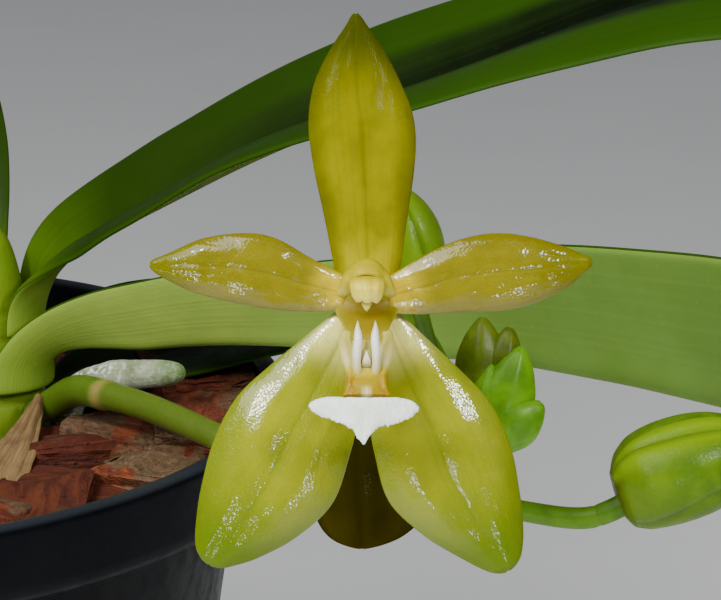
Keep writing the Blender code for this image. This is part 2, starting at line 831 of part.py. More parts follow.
RIGHT_SEPAL = [
    (0.0, 1.3, 0.0, -1.6, 0.2),
    (0.1, 2.45, 0.25, -1.25, 0.6),
    (0.27, 4.2, 0.45, -0.7, 1.3),
    (0.43, 5.35, 0.4, -0.3, 1.7),
    (0.6, 5.6, 0.7, -0.4, 1.7),
    (0.77, 4.3, 0.4, -0.8, 1.4),
    (0.9, 2.7, -0.05, -1.4, 0.9),
    (0.97, 1.5, -0.2, -1.8, 0.4),
    (1.0, 0.5, -0.2, -2.0, 0.1),
]


def make_bloom():
    frame = bloom_frame()
    sepal = finish("sepal", "#c6c400", 0.3)
    petal = finish("petal", "#c8b400", 0.3)
    tepal("dorsal_sepal", (0.1, 1.75), 2.6, 22.2, DORSAL_SEPAL, sepal)
    tepal("petal_left", (-1.75, 0.55), 81.5, PETAL_LENGTH + 0.3, LEFT_PETAL, petal)
    tepal("petal_right", (1.85, 0.35), -80.5, PETAL_LENGTH + 1.0, RIGHT_PETAL, petal)
    tepal("lateral_sepal_left", (-1.52, -1.65), 150.6, SEPAL_LENGTH + 0.4, LEFT_SEPAL, sepal)
    tepal("lateral_sepal_right", (1.62, -1.65), 205.4, SEPAL_LENGTH + 0.2, RIGHT_SEPAL, sepal)
    make_column(frame)
    make_lip(frame)


def in_bloom(bm, frame):
    bmesh.ops.transform(bm, matrix=frame, verts=bm.verts)
    return bm


def make_column(frame):
    """The column: a hood with a wing on each side, a pocket for the anther, and the hollow
    foot below it that carries the lip."""
    yellow = finish("column", "#e0c400", 0.35)
    upright = Vector((0.0, 1.0, 0.0))
    receptacle = [Vector((0.0, 0.0, n)) for n in (-3.2, -1.0, 0.6)]
    core = sweep(receptacle, [(RECEPTACLE_RADIUS,) * 2] * 3, 12, upright)
    body = add_object("column", in_bloom(core, frame), yellow)
    # (v, n, half width, half height) of the hood, from its root to its brow
    hood_rings = [
        (0.3, 0.1, 1.3, 1.35),
        (0.9, 1.0, 1.55, 1.8),
        (1.55, 2.0, 1.75, 2.0),
        (1.75, 2.9, 1.7, 1.75),
        (1.8, 3.7, 1.4, 1.3),
        (1.75, 4.2, 0.8, 0.7),
    ]
    hood = sweep(
        [Vector((0.0, v, n)) for v, n, _, _ in hood_rings],
        [(half_width, half_height) for _, _, half_width, half_height in hood_rings],
        14,
        upright,
    )
    extras = [hood, ellipsoid((0.0, -1.45, 0.55), (2.45, 1.95, 1.45), 12, 7)]
    for side in (-1, 1):
        lean = Matrix.Rotation(side * 0.38, 4, "Z")
        extras.append(ellipsoid((side * 1.75, 1.15, 2.6), (0.6, 1.5, 1.0), 8, 6, lean))
    pieces = [add_object(f"column_{k}", in_bloom(bm, frame), yellow) for k, bm in enumerate(extras)]
    combine(body, pieces, "UNION", "MANIFOLD")
    pocket = ellipsoid(ANTHER_CENTRE, [radius + GAP + 0.05 for radius in ANTHER_RADII], 10, 6)
    cup = ellipsoid((0.0, -1.55, 1.75), (1.9, 1.4, 1.5), 12, 7)
    hollows = [add_object(f"hollow_{k}", in_bloom(bm, frame), yellow) for k, bm in enumerate((pocket, cup))]
    combine(body, hollows, "DIFFERENCE", "MANIFOLD")
    cap = in_bloom(ellipsoid(ANTHER_CENTRE, ANTHER_RADII, 10, 6), frame)
    add_object("anther_cap", cap, finish("anther", "#efe08a", 0.4))


# (u, v, n) in the bloom's frame
CLAW_ROUTE = [(0.0, -3.45, 1.65), (0.0, -4.4, 2.1), (0.0, -5.6, 3.0), (0.0, -6.8, 3.9), (0.0, -7.7, 4.5)]
TOOTH_ROUTE = [(0.75, -5.9, 3.3), (0.85, -4.4, 3.5), (0.85, -3.0, 3.4), (0.7, -2.0, 3.2)]
TOOTH_SIZES = [(0.38, 0.5), (0.36, 0.5), (0.3, 0.42), (0.12, 0.15)]


def make_lip(frame):
    """The lip: a golden claw with two upright teeth and a callus, and the white blade in front."""
    gold = finish("lip_claw", "#f2b400", 0.4)
    places = [Vector(place) for place in CLAW_ROUTE]
    sizes = [(1.0, 0.5), (1.1, 0.45), (1.15, 0.4), (1.45, 0.35), (1.8, 0.3)]
    claw = add_object("lip", in_bloom(sweep(places, sizes, 12), frame), gold)
    pieces = []
    for side in (-1, 1):
        bends = [Vector((side * u, v, n)) for u, v, n in TOOTH_ROUTE]
        tooth = sweep(bends, TOOTH_SIZES, 8)
        pieces.append(add_object(f"tooth_{side}", in_bloom(tooth, frame), gold))
    callus = ellipsoid((0.0, -5.0, 3.0), (0.75, 1.0, 0.6), 10, 6)
    pieces.append(add_object("callus", in_bloom(callus, frame), gold))
    combine(claw, pieces, "UNION")

    def place(x, s):
        edge = abs(x)
        top = -8.05 - 0.75 * edge**3 + 0.12 * math.cos(math.pi * x)
        spur = max(0.0, 1.0 - edge / 0.3)
        low = -8.95 - 1.45 * (1.0 - edge**1.7) - 1.25 * spur**1.2
        width = LIP_HALF_WIDTH * x - 0.3
        return frame @ Vector((width, top + (low - top) * s, 5.1 - 0.5 * edge * edge + 0.35 * s))

    white = finish("lip_blade", "#e9ece9", 0.5)
    return thicken(add_object("lip_midlobe", blade(14, 5, place), white), LIP_BLADE_THICKNESS)


# Shares along a closing tepal: its half width, and how far it stands from the bell's axis
BELL_WIDTH = [(0.0, 0.3), (0.2, 0.75), (0.6, 1.0), (0.85, 0.95), (0.94, 0.6), (1.0, 0.12)]
BELL_SWELL = [(0.0, 2.45), (0.2, 4.6), (0.55, 5.9), (0.8, 5.6), (1.0, 4.9)]


def make_half_open_bloom():
    """A younger bloom behind the open one, nodding, its tepals still closing in a bell."""
    base, tip = Vector(HALF_OPEN_BASE), Vector(HALF_OPEN_TIP)
    axis = (tip - base).normalized()
    length = (tip - base).length
    forward = Vector((0.0, -1.0, 0.0))
    forward = (forward - axis * forward.dot(axis)).normalized()
    side = axis.cross(forward)
    sepal = finish("sepal", "#c6c400", 0.3)
    petal = finish("petal", "#c8b400", 0.3)

    def bell(name, turn, half_width, inset, start, reach, material):
        angle = math.radians(turn)
        out = forward * math.cos(angle) + side * math.sin(angle)
        across = axis.cross(out)

        def place(x, u):
            s = start + (1.0 - start) * u
            width = half_width * blend(BELL_WIDTH, s)
            swell = blend(BELL_SWELL, s) - inset
            wrap = x * width / max(swell, 1.0)
            radial = out * math.cos(wrap) + across * math.sin(wrap)
            return base + axis * (length * reach * s) + radial * swell

        return thicken(add_object(name, blade(4, 8, place), material), CLOSING_THICKNESS)

    bell("young_sepal_front", 8, 5.7, 0.0, 0.0, 1.0, sepal)
    bell("young_sepal_left", 130, 5.1, 0.0, 0.0, 0.96, sepal)
    bell("young_sepal_right", 246, 5.1, 0.0, 0.0, 0.96, sepal)
    bell("young_petal_left", 69, 3.2, 1.4, 0.15, 0.78, petal)
    bell("young_petal_right", -54, 3.2, 1.4, 0.15, 0.78, petal)
    stations = [base + axis * reach for reach in (-0.2, 1.5, 5.0, 8.5, 10.0)]
    heart = sweep(stations, [(1.75, 1.75), (1.75, 1.75), (1.6, 1.7), (1.5, 1.3), (0.6, 0.5)], 10, forward)
    add_object("young_column", heart, finish("column", "#e0c400", 0.35))


PEDICELS = {
    # name: (points from the stalk to the flower or bud, radius stops)
    "pedicel_bloom": (
        [
            (73.0, -59.7, 113.7),
            (74.0, -60.4, 119.0),
            (74.0, -65.0, 129.0),
            (71.8, -75.0, 135.4),
            (70.6, -83.0, 136.4),
            (70.5, -88.4, 137.1),
        ],
        [(0.0, 0.95), (0.5, 1.0), (1.0, 1.3)],
    ),
    "pedicel_young": (
        [
            (78.5, -68.9, 120.4),
            (78.0, -70.3, 124.0),
            (76.0, -71.9, 129.0),
            (73.4, -72.9, 131.6),
            (71.3, -73.0, 131.0),
        ],
        [(0.0, 0.85), (0.5, 0.9), (1.0, 1.15)],
    ),
    "pedicel_bud_right": (
        [
            (80.1, -66.0, 114.3),
            (82.0, -66.4, 112.6),
            (86.0, -67.0, 111.7),
            (90.5, -67.5, 111.4),
            (93.25, -67.6, 112.35),
        ],
        [(0.0, 0.9), (0.5, 1.0), (1.0, 1.1)],
    ),
    "pedicel_bud_upright": (
        [
            (80.7, -72.6, 122.4),
            (78.6, -75.8, 125.6),
            (76.2, -79.4, 130.6),
            (75.2, -80.6, 134.0),
            (75.0, -80.7, 135.2),
        ],
        [(0.0, 0.6), (0.6, 0.6), (1.0, 0.75)],
    ),
}
BUDS = {
    # name: (foot, tip, largest half width, largest half height)
    "bud_right": ((93.2, -67.5, 114.1), (107.6, -65.8, 118.4), 4.6, 4.7),
    "bud_upright": ((74.8, -80.8, 135.6), (73.8, -79.8, 144.8), 2.8, 2.8),
}
BUD_STATIONS = [0.0, 0.05, 0.14, 0.27, 0.42, 0.58, 0.73, 0.86, 0.95, 1.0]
# (place from foot to tip, share of the largest girth)
BUD_GIRTH = [
    (0.0, 0.3),
    (0.06, 0.62),
    (0.18, 0.9),
    (0.4, 1.0),
    (0.65, 0.9),
    (0.85, 0.6),
    (0.96, 0.28),
    (1.0, 0.08),
]


def make_buds():
    """Each bud is an egg, blunt at its foot, with its pedicel ending just short of it."""
    green = finish("stalk", "#7f9a1a", 0.45)
    lime = finish("bud", "#a6c800", 0.35)
    for name, (points, radii) in PEDICELS.items():
        stalk = round_sweep(points, radii, STALK_SIDES, PEDICEL_ROWS, Vector((0.1, 0.2, 1.0)))
        add_object(name, stalk, green)
    for name, (foot, tip, half_width, half_height) in BUDS.items():
        places = [Vector(foot).lerp(Vector(tip), s) for s in BUD_STATIONS]
        girths = [blend(BUD_GIRTH, s) for s in BUD_STATIONS]
        sizes = [(half_width * girth, half_height * girth) for girth in girths]
        add_object(name, sweep(places, sizes, BUD_SIDES, Vector((0.0, 1.0, 0.2))), lime)


def main():
    clear_scene()
    make_pot()
    make_stem()
    make_roots()
    make_bark(standing_holes())
    make_dried_sheath()
    make_leaves()
    make_spike()
    make_buds()
    make_bloom()
    make_half_open_bloom()


main()
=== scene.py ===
"""The potted orchid dressed for a close look: fine petals, leaves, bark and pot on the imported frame."""

import json
import math
import random

import bmesh
import bpy
from mathutils import Matrix, Vector, noise

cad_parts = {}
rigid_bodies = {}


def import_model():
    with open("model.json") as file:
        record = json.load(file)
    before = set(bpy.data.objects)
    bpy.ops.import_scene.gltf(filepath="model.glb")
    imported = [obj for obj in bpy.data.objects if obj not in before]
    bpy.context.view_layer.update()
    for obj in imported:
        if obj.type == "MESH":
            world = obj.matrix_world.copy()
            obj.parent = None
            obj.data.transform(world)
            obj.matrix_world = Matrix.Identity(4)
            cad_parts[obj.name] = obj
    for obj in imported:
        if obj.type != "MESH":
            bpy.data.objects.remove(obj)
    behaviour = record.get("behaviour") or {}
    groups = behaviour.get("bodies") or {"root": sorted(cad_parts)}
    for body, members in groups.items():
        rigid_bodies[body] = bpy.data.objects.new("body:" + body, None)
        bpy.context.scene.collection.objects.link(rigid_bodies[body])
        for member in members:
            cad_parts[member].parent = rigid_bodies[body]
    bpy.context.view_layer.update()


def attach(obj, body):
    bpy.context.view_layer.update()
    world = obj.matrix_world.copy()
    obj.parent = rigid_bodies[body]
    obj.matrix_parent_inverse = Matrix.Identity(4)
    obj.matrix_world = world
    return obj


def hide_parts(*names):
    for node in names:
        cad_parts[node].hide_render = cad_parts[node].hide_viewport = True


MM = 0.001
UP = Vector((0.0, 0.0, 1.0))
BLOOM_UP = Vector((0.0, 1.0, 0.0))
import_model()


def blend(stops, s):
    """The value at s of a smooth curve through (place, value, ...) stops; tuples of values blend together."""
    places = [stop[0] for stop in stops]
    last = len(stops) - 1
    k = 0
    while k < last - 1 and s > places[k + 1]:
        k += 1
    before, start, end, after = (stops[min(max(j, 0), last)] for j in (k - 1, k, k + 1, k + 2))
    span = end[0] - start[0]
    t = min(max((s - start[0]) / span, 0.0), 1.0)
    result = []
    for a, b, c, d in zip(before[1:], start[1:], end[1:], after[1:]):
        rise_in = (c - a) / max(end[0] - before[0], 1e-9) * span
        rise_out = (d - b) / max(after[0] - start[0], 1e-9) * span
        value = (2 * t**3 - 3 * t**2 + 1) * b + (t**3 - 2 * t**2 + t) * rise_in
        value += (3 * t**2 - 2 * t**3) * c + (t**3 - t**2) * rise_out
        result.append(value)
    return result[0] if len(result) == 1 else result


def route(points, count):
    """Evenly spaced points on a smooth curve through the given ones."""
    stops = [(0.0, *points[0])]
    for before, point in zip(points, points[1:]):
        stops.append((stops[-1][0] + math.dist(before, point), *point))
    steps = max(300, count * 3)
    fine = [Vector(blend(stops, stops[-1][0] * i / steps)) for i in range(steps + 1)]
    reach = [0.0]
    for before, point in zip(fine, fine[1:]):
        reach.append(reach[-1] + (point - before).length)
    result = []
    k = 0
    for i in range(count):
        target = reach[-1] * i / (count - 1)
        while k < steps - 1 and reach[k + 1] < target:
            k += 1
        share = (target - reach[k]) / max(reach[k + 1] - reach[k], 1e-9)
        result.append(fine[k].lerp(fine[k + 1], share))
    return result


def tangents(places):
    """The way the path goes at each of its places."""
    last = len(places) - 1
    return [(places[min(i + 1, last)] - places[max(i - 1, 0)]).normalized() for i in range(last + 1)]


def grain(point, size, octaves=3):
    """Smooth noise from about -1 to 1 with features of a size in millimetres."""
    return noise.fractal(Vector(point) / size, 1.0, 2.0, octaves)


def wobble(x, y, z=0.0):
    """Smooth noise from about -1 to 1 at a place."""
    return noise.noise(Vector((x, y, z)))


def hump(x, width):
    """A smooth rise to 1 where x is 0, with its flanks about a width away."""
    return math.exp(-((x / width) ** 2))


def sweep(places, sizes, sides, up=UP, shape=None, heading=None):
    """A closed skin: an ellipse carried along the places, its half axes (across, along up) at each, square
    to the path or to a fixed heading. shape(s, angle) scales its radius. Its UV is (turn, s)."""
    bm = bmesh.new()
    layer = bm.loops.layers.uv.new("UVMap")
    ways = [heading] * len(places) if heading else tangents(places)
    last = len(places) - 1
    rings = []
    for k, (place, way, size) in enumerate(zip(places, ways, sizes)):
        across = way.cross(up).normalized()
        upright = across.cross(way)
        ring = []
        for i in range(sides):
            angle = math.tau * i / sides
            scale = shape(k / last, angle) if shape else 1.0
            offset = across * (size[0] * math.cos(angle)) + upright * (size[1] * math.sin(angle))
            ring.append(bm.verts.new(place + offset * scale))
        rings.append(ring)
    for k, (low, high) in enumerate(zip(rings, rings[1:])):
        for i in range(sides):
            j = (i + 1) % sides
            face = bm.faces.new((low[i], low[j], high[j], high[i]))
            spots = ((i, k), (i + 1, k), (i + 1, k + 1), (i, k + 1))
            for loop, (turn, step) in zip(face.loops, spots):
                loop[layer].uv = (turn / sides, step / last)
    for ring, step in ((rings[0], 0.0), (rings[-1], 1.0)):
        for loop in bm.faces.new(ring).loops:
            loop[layer].uv = (0.5, step)
    bmesh.ops.recalc_face_normals(bm, faces=bm.faces)
    return bm


def tube(points, girth, sides, count, up=UP, shape=None):
    """A sweep on a smooth route, with (s, radius) or (s, half axis across, half axis along up) stops."""
    sizes = [blend(girth, i / (count - 1)) for i in range(count)]
    sizes = [size if isinstance(size, list) else (size, size) for size in sizes]
    return sweep(route(points, count), sizes, sides, up, shape)


def blade(across, along, place):
    """An open sheet, one point for each (x, s), x from -1 to 1 across and s from 0 to 1 along; UV (x, s)."""
    bm = bmesh.new()
    bmesh.ops.create_grid(bm, x_segments=across, y_segments=along, size=0.5, calc_uvs=False)
    layer = bm.loops.layers.uv.new("UVMap")
    spots = {vertex: (vertex.co.x * 2, vertex.co.y + 0.5) for vertex in bm.verts}
    for face in bm.faces:
        for loop in face.loops:
            x, s = spots[loop.vert]
            loop[layer].uv = (x / 2 + 0.5, s)
    for vertex, (x, s) in spots.items():
        vertex.co = place(x, s)
    return bm


def ellipsoid(centre, radii):
    bm = bmesh.new()
    matrix = Matrix.Translation(centre) @ Matrix.Diagonal((*radii, 1.0))
    bmesh.ops.create_uvsphere(bm, u_segments=32, v_segments=20, radius=1.0, matrix=matrix)
    return bm


def lathe(profile, steps):
    """A solid turned about the Z axis from (radius, height) points that start and end on it."""
    bm = bmesh.new()
    points = [bm.verts.new((radius, 0.0, height)) for radius, height in profile]
    for start, end in zip(points, points[1:]):
        bm.edges.new((start, end))
    geometry = [*bm.verts, *bm.edges]
    centre = (0.0, 0.0, 0.0)
    bmesh.ops.spin(bm, geom=geometry, axis=UP, cent=centre, angle=math.tau, steps=steps, use_merge=True)
    bmesh.ops.remove_doubles(bm, verts=bm.verts, dist=1e-4)
    bmesh.ops.recalc_face_normals(bm, faces=bm.faces)
    return bm


def mesh_object(name, bm, *materials, scale=MM):
    """The bmesh, in millimetres, as an object, smooth and in metres."""
    bmesh.ops.scale(bm, vec=(scale, scale, scale), verts=bm.verts)
    mesh = bpy.data.meshes.new(name)
    bm.to_mesh(mesh)
    bm.free()
    mesh.shade_smooth()
    for material in materials:
        mesh.materials.append(material)
    obj = bpy.data.objects.new(name, mesh)
    bpy.context.scene.collection.objects.link(obj)
    return obj


def modify(obj, kind, **settings):
    """Adds a modifier with its settings."""
    modifier = obj.modifiers.new(kind, kind)
    for key, value in settings.items():
        setattr(modifier, key, value)


def applied(obj):
    """The object with its modifiers worked into its mesh."""
    graph = bpy.context.evaluated_depsgraph_get()
    mesh = bpy.data.meshes.new_from_object(obj.evaluated_get(graph))
    old = obj.data
    obj.modifiers.clear()
    obj.data = mesh
    bpy.data.meshes.remove(old)
    return obj


def thicken(obj, thickness, thin_edge=None, underside=0, scale=MM):
    """Gives an open sheet its thickness, less towards its margins where thin_edge is the share left there."""
    thinning = {}
    if thin_edge is not None:
        group = obj.vertex_groups.new(name="body")
        shares = {}
        for loop, corner in zip(obj.data.loops, obj.data.uv_layers[0].data):
            x, s = corner.uv
            share = (1.0 - abs(x * 2 - 1) ** 5) * min((1.0 - s) * 14, 1.0)
            shares[loop.vertex_index] = min(share * min(s * 14 + 0.3, 1.0), 1.0)
        for index, share in shares.items():
            group.add([index], share, "REPLACE")
        thinning = {"vertex_group": "body", "thickness_vertex_group": thin_edge}
    modify(obj, "SOLIDIFY", thickness=thickness * scale, offset=0.0, material_offset=underside, **thinning)
    modify(obj, "SUBSURF", levels=1, render_levels=1)
    return applied(obj)


def place_piece(obj, slot, *nodes):
    """Rides on the plant and stands for the CAD nodes it refines; its slot is not used."""
    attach(obj, "root")
    if nodes:
        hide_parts(*nodes)


def solid_piece(name, bm, material, slot, *nodes):
    """A closed skin of one material, made and placed."""
    place_piece(mesh_object(name, bm, material), slot, *nodes)


def colour(value):
    """A linear RGBA colour from an sRGB hex string."""
    channels = [int(value[i : i + 2], 16) / 255 for i in (1, 3, 5)]
    linear = [c / 12.92 if c <= 0.04045 else ((c + 0.055) / 1.055) ** 2.4 for c in channels]
    return (*linear, 1.0)


class Surface:
    """One procedural material; a number, a hex colour or another node's output goes into each input."""

    def __init__(self, name, **settings):
        self.material = bpy.data.materials.new(name)
        self.material.use_nodes = True
        self.tree = self.material.node_tree
        self.shader = self.tree.nodes["Principled BSDF"]
        self.coordinates = self.tree.nodes.new("ShaderNodeTexCoord").outputs
        self.base = None
        for key, value in settings.items():
            self.shader.inputs[key.replace("_", " ")].default_value = value

    def feed(self, socket, value):
        """Links a node's output to a socket, or sets it to a number or a hex colour."""
        if isinstance(value, bpy.types.NodeSocket):
            self.tree.links.new(value, socket)
        elif isinstance(value, str):
            socket.default_value = colour(value)
        else:
            socket.default_value = value

    def add(self, kind, inputs=(), stops=(), out=0, **options):
        """Adds a node with its options, its inputs and the (place, colour or number) stops of a ramp."""
        node = self.tree.nodes.new("ShaderNode" + kind)
        for key, value in options.items():
            setattr(node, key, value)
        for key, value in dict(inputs).items():
            self.feed(node.inputs[key], value)
        if stops:
            node.color_ramp.interpolation = "EASE"
            elements = node.color_ramp.elements
            while len(elements) < len(stops):
                elements.new(0.5)
            for element, (place, shade) in zip(elements, stops):
                element.position = place
                element.color = colour(shade) if isinstance(shade, str) else (shade, shade, shade, 1.0)
        return node.outputs[out]

    def pattern(self, size, detail=3.0, rough=0.55, over="Object", stretch=None, twist=0.0, cells=False):
        """Noise, or round cells, with features of a size in millimetres, over the object or its UV."""
        place = self.coordinates[over] if isinstance(over, str) else over
        if stretch:
            place = self.add("Mapping", {"Vector": place, "Scale": stretch})
        inputs = {"Vector": place, "Scale": 1.0 / (size * MM)}
        if cells:
            return self.add("TexVoronoi", inputs)
        return self.add("TexNoise", {**inputs, "Detail": detail, "Roughness": rough, "Distortion": twist})

    def clouds(self, size, *stops, **settings):
        """A pattern turned to colours or numbers."""
        return self.add("ValToRGB", {0: self.pattern(size, **settings)}, stops)

    def paint(self, shade, value, *stops, share=None):
        """Lays a shade over the colours so far, as much as the stops give for the value, times a share."""
        amount = self.add("ValToRGB", {0: value}, stops)
        if share is not None:
            amount = self.add("Math", {0: amount, 1: share}, operation="MULTIPLY")
        self.base = self.add("Mix", {0: amount, 6: self.base, 7: shade}, out=2, data_type="RGBA")

    def along(self, axis, over="Object"):
        """How far along an axis a point lies, in the object or in its UV."""
        return self.add("SeparateXYZ", {0: self.coordinates[over]}, out=axis)

    def away(self, value, middle):
        """How far a value lies from a middle one."""
        off = self.add("Math", {0: value, 1: middle}, operation="SUBTRACT")
        return self.add("Math", {0: off}, operation="ABSOLUTE")

    def side_and_length(self):
        """How far a point of a blade lies from its middle line, 0 to 1, and how far from its foot."""
        twice = self.add("Math", {0: self.along("X", "UV"), 1: 2.0}, operation="MULTIPLY")
        return self.away(twice, 1.0), self.along("Y", "UV")

    def relief(self, height, depth, strength):
        """Relief of a depth in millimetres; calls stack up."""
        inputs = {"Height": height, "Distance": depth * MM, "Strength": strength}
        if self.shader.inputs["Normal"].is_linked:
            inputs["Normal"] = self.shader.inputs["Normal"].links[0].from_socket
        skin = self.add("Bump", inputs)
        self.feed(self.shader.inputs["Normal"], skin)
        self.feed(self.shader.inputs["Coat Normal"], skin)

    def done(self, rough):
        """The material, with the colours laid so far and its roughness."""
        self.feed(self.shader.inputs["Base Color"], self.base)
        self.feed(self.shader.inputs["Roughness"], rough)
        return self.material


def lit_through(weight, reach):
    """Light that sinks into living tissue, reach in millimetres, and comes out yellow."""
    radius = (1.0, 0.8, 0.03)
    return {"Subsurface_Weight": weight, "Subsurface_Scale": reach * MM, "Subsurface_Radius": radius}


def tepal_surface(name, foot, body, edge, tip, rib, glow, coat=0.6):
    """Waxy, finely granular flower tissue: pale at its foot, greener at its tip, with faint veins; some
    callers' foot and tip colours hold painted light and shade.
    """
    made = Surface(name, **lit_through(0.15, 1.0), IOR=1.42, Specular_IOR_Level=0.15 * coat,
                   Coat_Roughness=0.075, Coat_IOR=1.65)
    side, length = made.side_and_length()
    wax = made.add("ValToRGB", {0: length}, ((0.2, coat * 1.6), (0.4, coat), (0.6, coat), (0.82, coat * 0.3)))
    made.feed(made.shader.inputs["Coat Weight"], wax)
    shades = ((0.0, foot), (0.14, foot), (0.34, body), (0.5, body), (0.82, tip))
    made.base = made.add("ValToRGB", {0: length}, shades)
    made.paint(edge, side, (0.0, 0.0), (0.55, 0.0), (0.95, 0.55))
    made.paint(rib, side, (0.0, 0.35), (0.035, 0.1925), (0.1, 0.0))
    veins = made.pattern(0.55, 2.0, over="UV", stretch=(0.012, 0.0007, 1.0))
    made.paint(rib, veins, (0.5, 0.0), (0.75, 0.22))
    made.paint(edge, made.pattern(3.2), (0.35, 0.0), (0.75, glow))
    made.relief(made.pattern(0.24, cells=True), 0.019, 0.85)
    made.relief(made.pattern(0.13, 2.0), 0.008, 0.8)
    made.relief(made.pattern(1.0), 0.03, 0.6)
    return made.done(made.clouds(0.35, (0.3, 0.3), (0.75, 0.45)))


def leaf_surface(name, foot, near, middle, far, light, rib, groove, rough, gloss):
    """Leathery leaf skin: pale clasping foot, darker blade, fine lengthwise veins and small pores; groove is
    how much painted shade darkens its middle along the midrib and painted light lightens its outer halves."""
    made = Surface(name, Specular_IOR_Level=gloss, IOR=1.45)
    side, length = made.side_and_length()
    shades = ((0.0, foot), (0.03, foot), (0.14, near), (0.4, middle), (1.0, far))
    made.base = made.add("ValToRGB", {0: length}, shades)
    made.paint(light, made.pattern(9.0, 4.0), (0.3, 0.0), (0.7, 0.35))
    made.paint(rib, side, (0.0, 0.5), (0.025, 0.3), (0.07, 0.0))
    made.paint(rib, side, (0.0, 0.0), (0.93, 0.0), (1.0, 0.5))
    # Painted shade darkens the blade's middle along the midrib and painted light lightens its outer halves,
    # both growing to groove a little way up the leaf.
    painted_light_and_shade = made.add("ValToRGB", {0: length}, ((0.16, 0.0), (0.4, groove)))
    made.paint("#2a4a03", side, (0.42, 0.0), (0.62, 1.0), share=painted_light_and_shade)
    made.paint("#020600", side, (0.16, 1.0), (0.46, 0.0), share=painted_light_and_shade)
    veins = made.pattern(1.0, 2.0, over="UV", stretch=(0.035, 0.0009, 1.0))
    made.paint(light, veins, (0.45, 0.0), (0.7, 0.22))
    made.paint(rib, made.pattern(0.5, 2.0), (0.68, 0.0), (0.74, 0.2))
    made.relief(veins, 0.05, 0.7)
    made.relief(made.pattern(0.25, 2.0), 0.02, 0.6)
    made.relief(made.pattern(3.0), 0.12, 0.5)
    return made.done(made.clouds(2.2, (0.3, rough[0]), (0.75, rough[1]), detail=4.0))


def fleshy_surface(name, main, light, mark, rough, size, subsurface):
    """Smooth living tissue: two greens in soft clouds, small darker specks and a fine skin."""
    made = Surface(name, **lit_through(subsurface, 1.0), Specular_IOR_Level=0.18, Coat_Weight=0.08,
                   Coat_Roughness=0.25)
    made.base = main
    made.paint(light, made.pattern(size), (0.3, 0.0), (0.7, 1.0))
    made.paint(mark, made.pattern(0.4, 2.0), (0.66, 0.0), (0.74, 0.25))
    made.relief(made.pattern(0.18, 2.0), 0.015, 0.7)
    made.relief(made.pattern(0.7, 2.0, stretch=(1.0, 1.0, 0.25)), 0.04, 0.6)
    return made.done(made.clouds(0.8, (0.3, rough[0]), (0.75, rough[1])))


STEM_AXIS = (29.0, 8.0)
GAP = 0.3
LEAF_THICKNESS = 1.3
LEAF_OPENING = 15.0
ROWS_AT_ENDS = 0.55
LEAF_CELLS = (24, 96)
# (height, radius)
STEM_PROFILE = [
    (78.0, 5.6), (96.0, 6.2), (101.0, 6.0), (105.0, 5.5), (109.0, 4.8), (113.0, 4.1), (117.0, 3.3),
    (120.0, 2.3), (121.5, 1.1),
]
STEM_SCARS = (99.0, 102.6, 105.8, 109.4, 112.4)
# leaf shapes: (s, half width, rise of the near half and of the far one, curl of each), angles in degrees
UPPER_LEAF = [
    (0.0, 4.5, 58, 58, 0, 0), (0.04, 8.0, 14, 46, 28, 0), (0.1, 9.3, 14, 48, 34, 0),
    (0.16, 10.6, 22, 46, 38, 0), (0.28, 13.3, 22, 37, 48, 6), (0.45, 16.0, 12, 28, 46, 12),
    (0.65, 17.5, 11, 22, 36, 20), (0.85, 14.0, 14, 18, 25, 25), (0.95, 7.5, 16, 18, 20, 20),
    (1.0, 1.6, 18, 18, 10, 10),
]
PALE_LEAF = [
    (0.0, 4.5, 58, 58, 0, 0), (0.05, 8.2, 60, 50, 0, 0), (0.1, 9.6, 63, 38, 0, 0), (0.22, 11.8, 70, 14, 0, 8),
    (0.4, 16.3, 73, -14, 0, 10), (0.55, 18.5, 72, -22, 0, 15), (0.75, 17.5, 55, -16, 10, 15),
    (0.9, 11.5, 34, 2, 15, 15), (0.97, 5.5, 22, 12, 10, 10), (1.0, 1.6, 18, 16, 5, 5),
]
LOW_LEAF = [
    (0.0, 4.0, 30, 50, 0, 0), (0.08, 7.0, 10, 30, 6, 0), (0.25, 11.0, 8, 24, 12, 10),
    (0.5, 14.0, 12, 18, 20, 20), (0.75, 14.5, 14, 14, 25, 25), (0.9, 10.0, 14, 14, 20, 20),
    (0.97, 5.0, 14, 14, 10, 10), (1.0, 1.6, 14, 14, 5, 5),
]
BROAD_LEAF = [
    (0.0, 4.5, 58, 58, 0, 0), (0.07, 8.0, 44, 44, 5, 5), (0.25, 12.0, 24, 24, 20, 20),
    (0.5, 17.0, 16, 16, 25, 25), (0.75, 17.5, 14, 14, 25, 25), (0.9, 12.0, 14, 14, 20, 20),
    (0.97, 6.0, 14, 14, 10, 10), (1.0, 1.6, 14, 14, 5, 5),
]
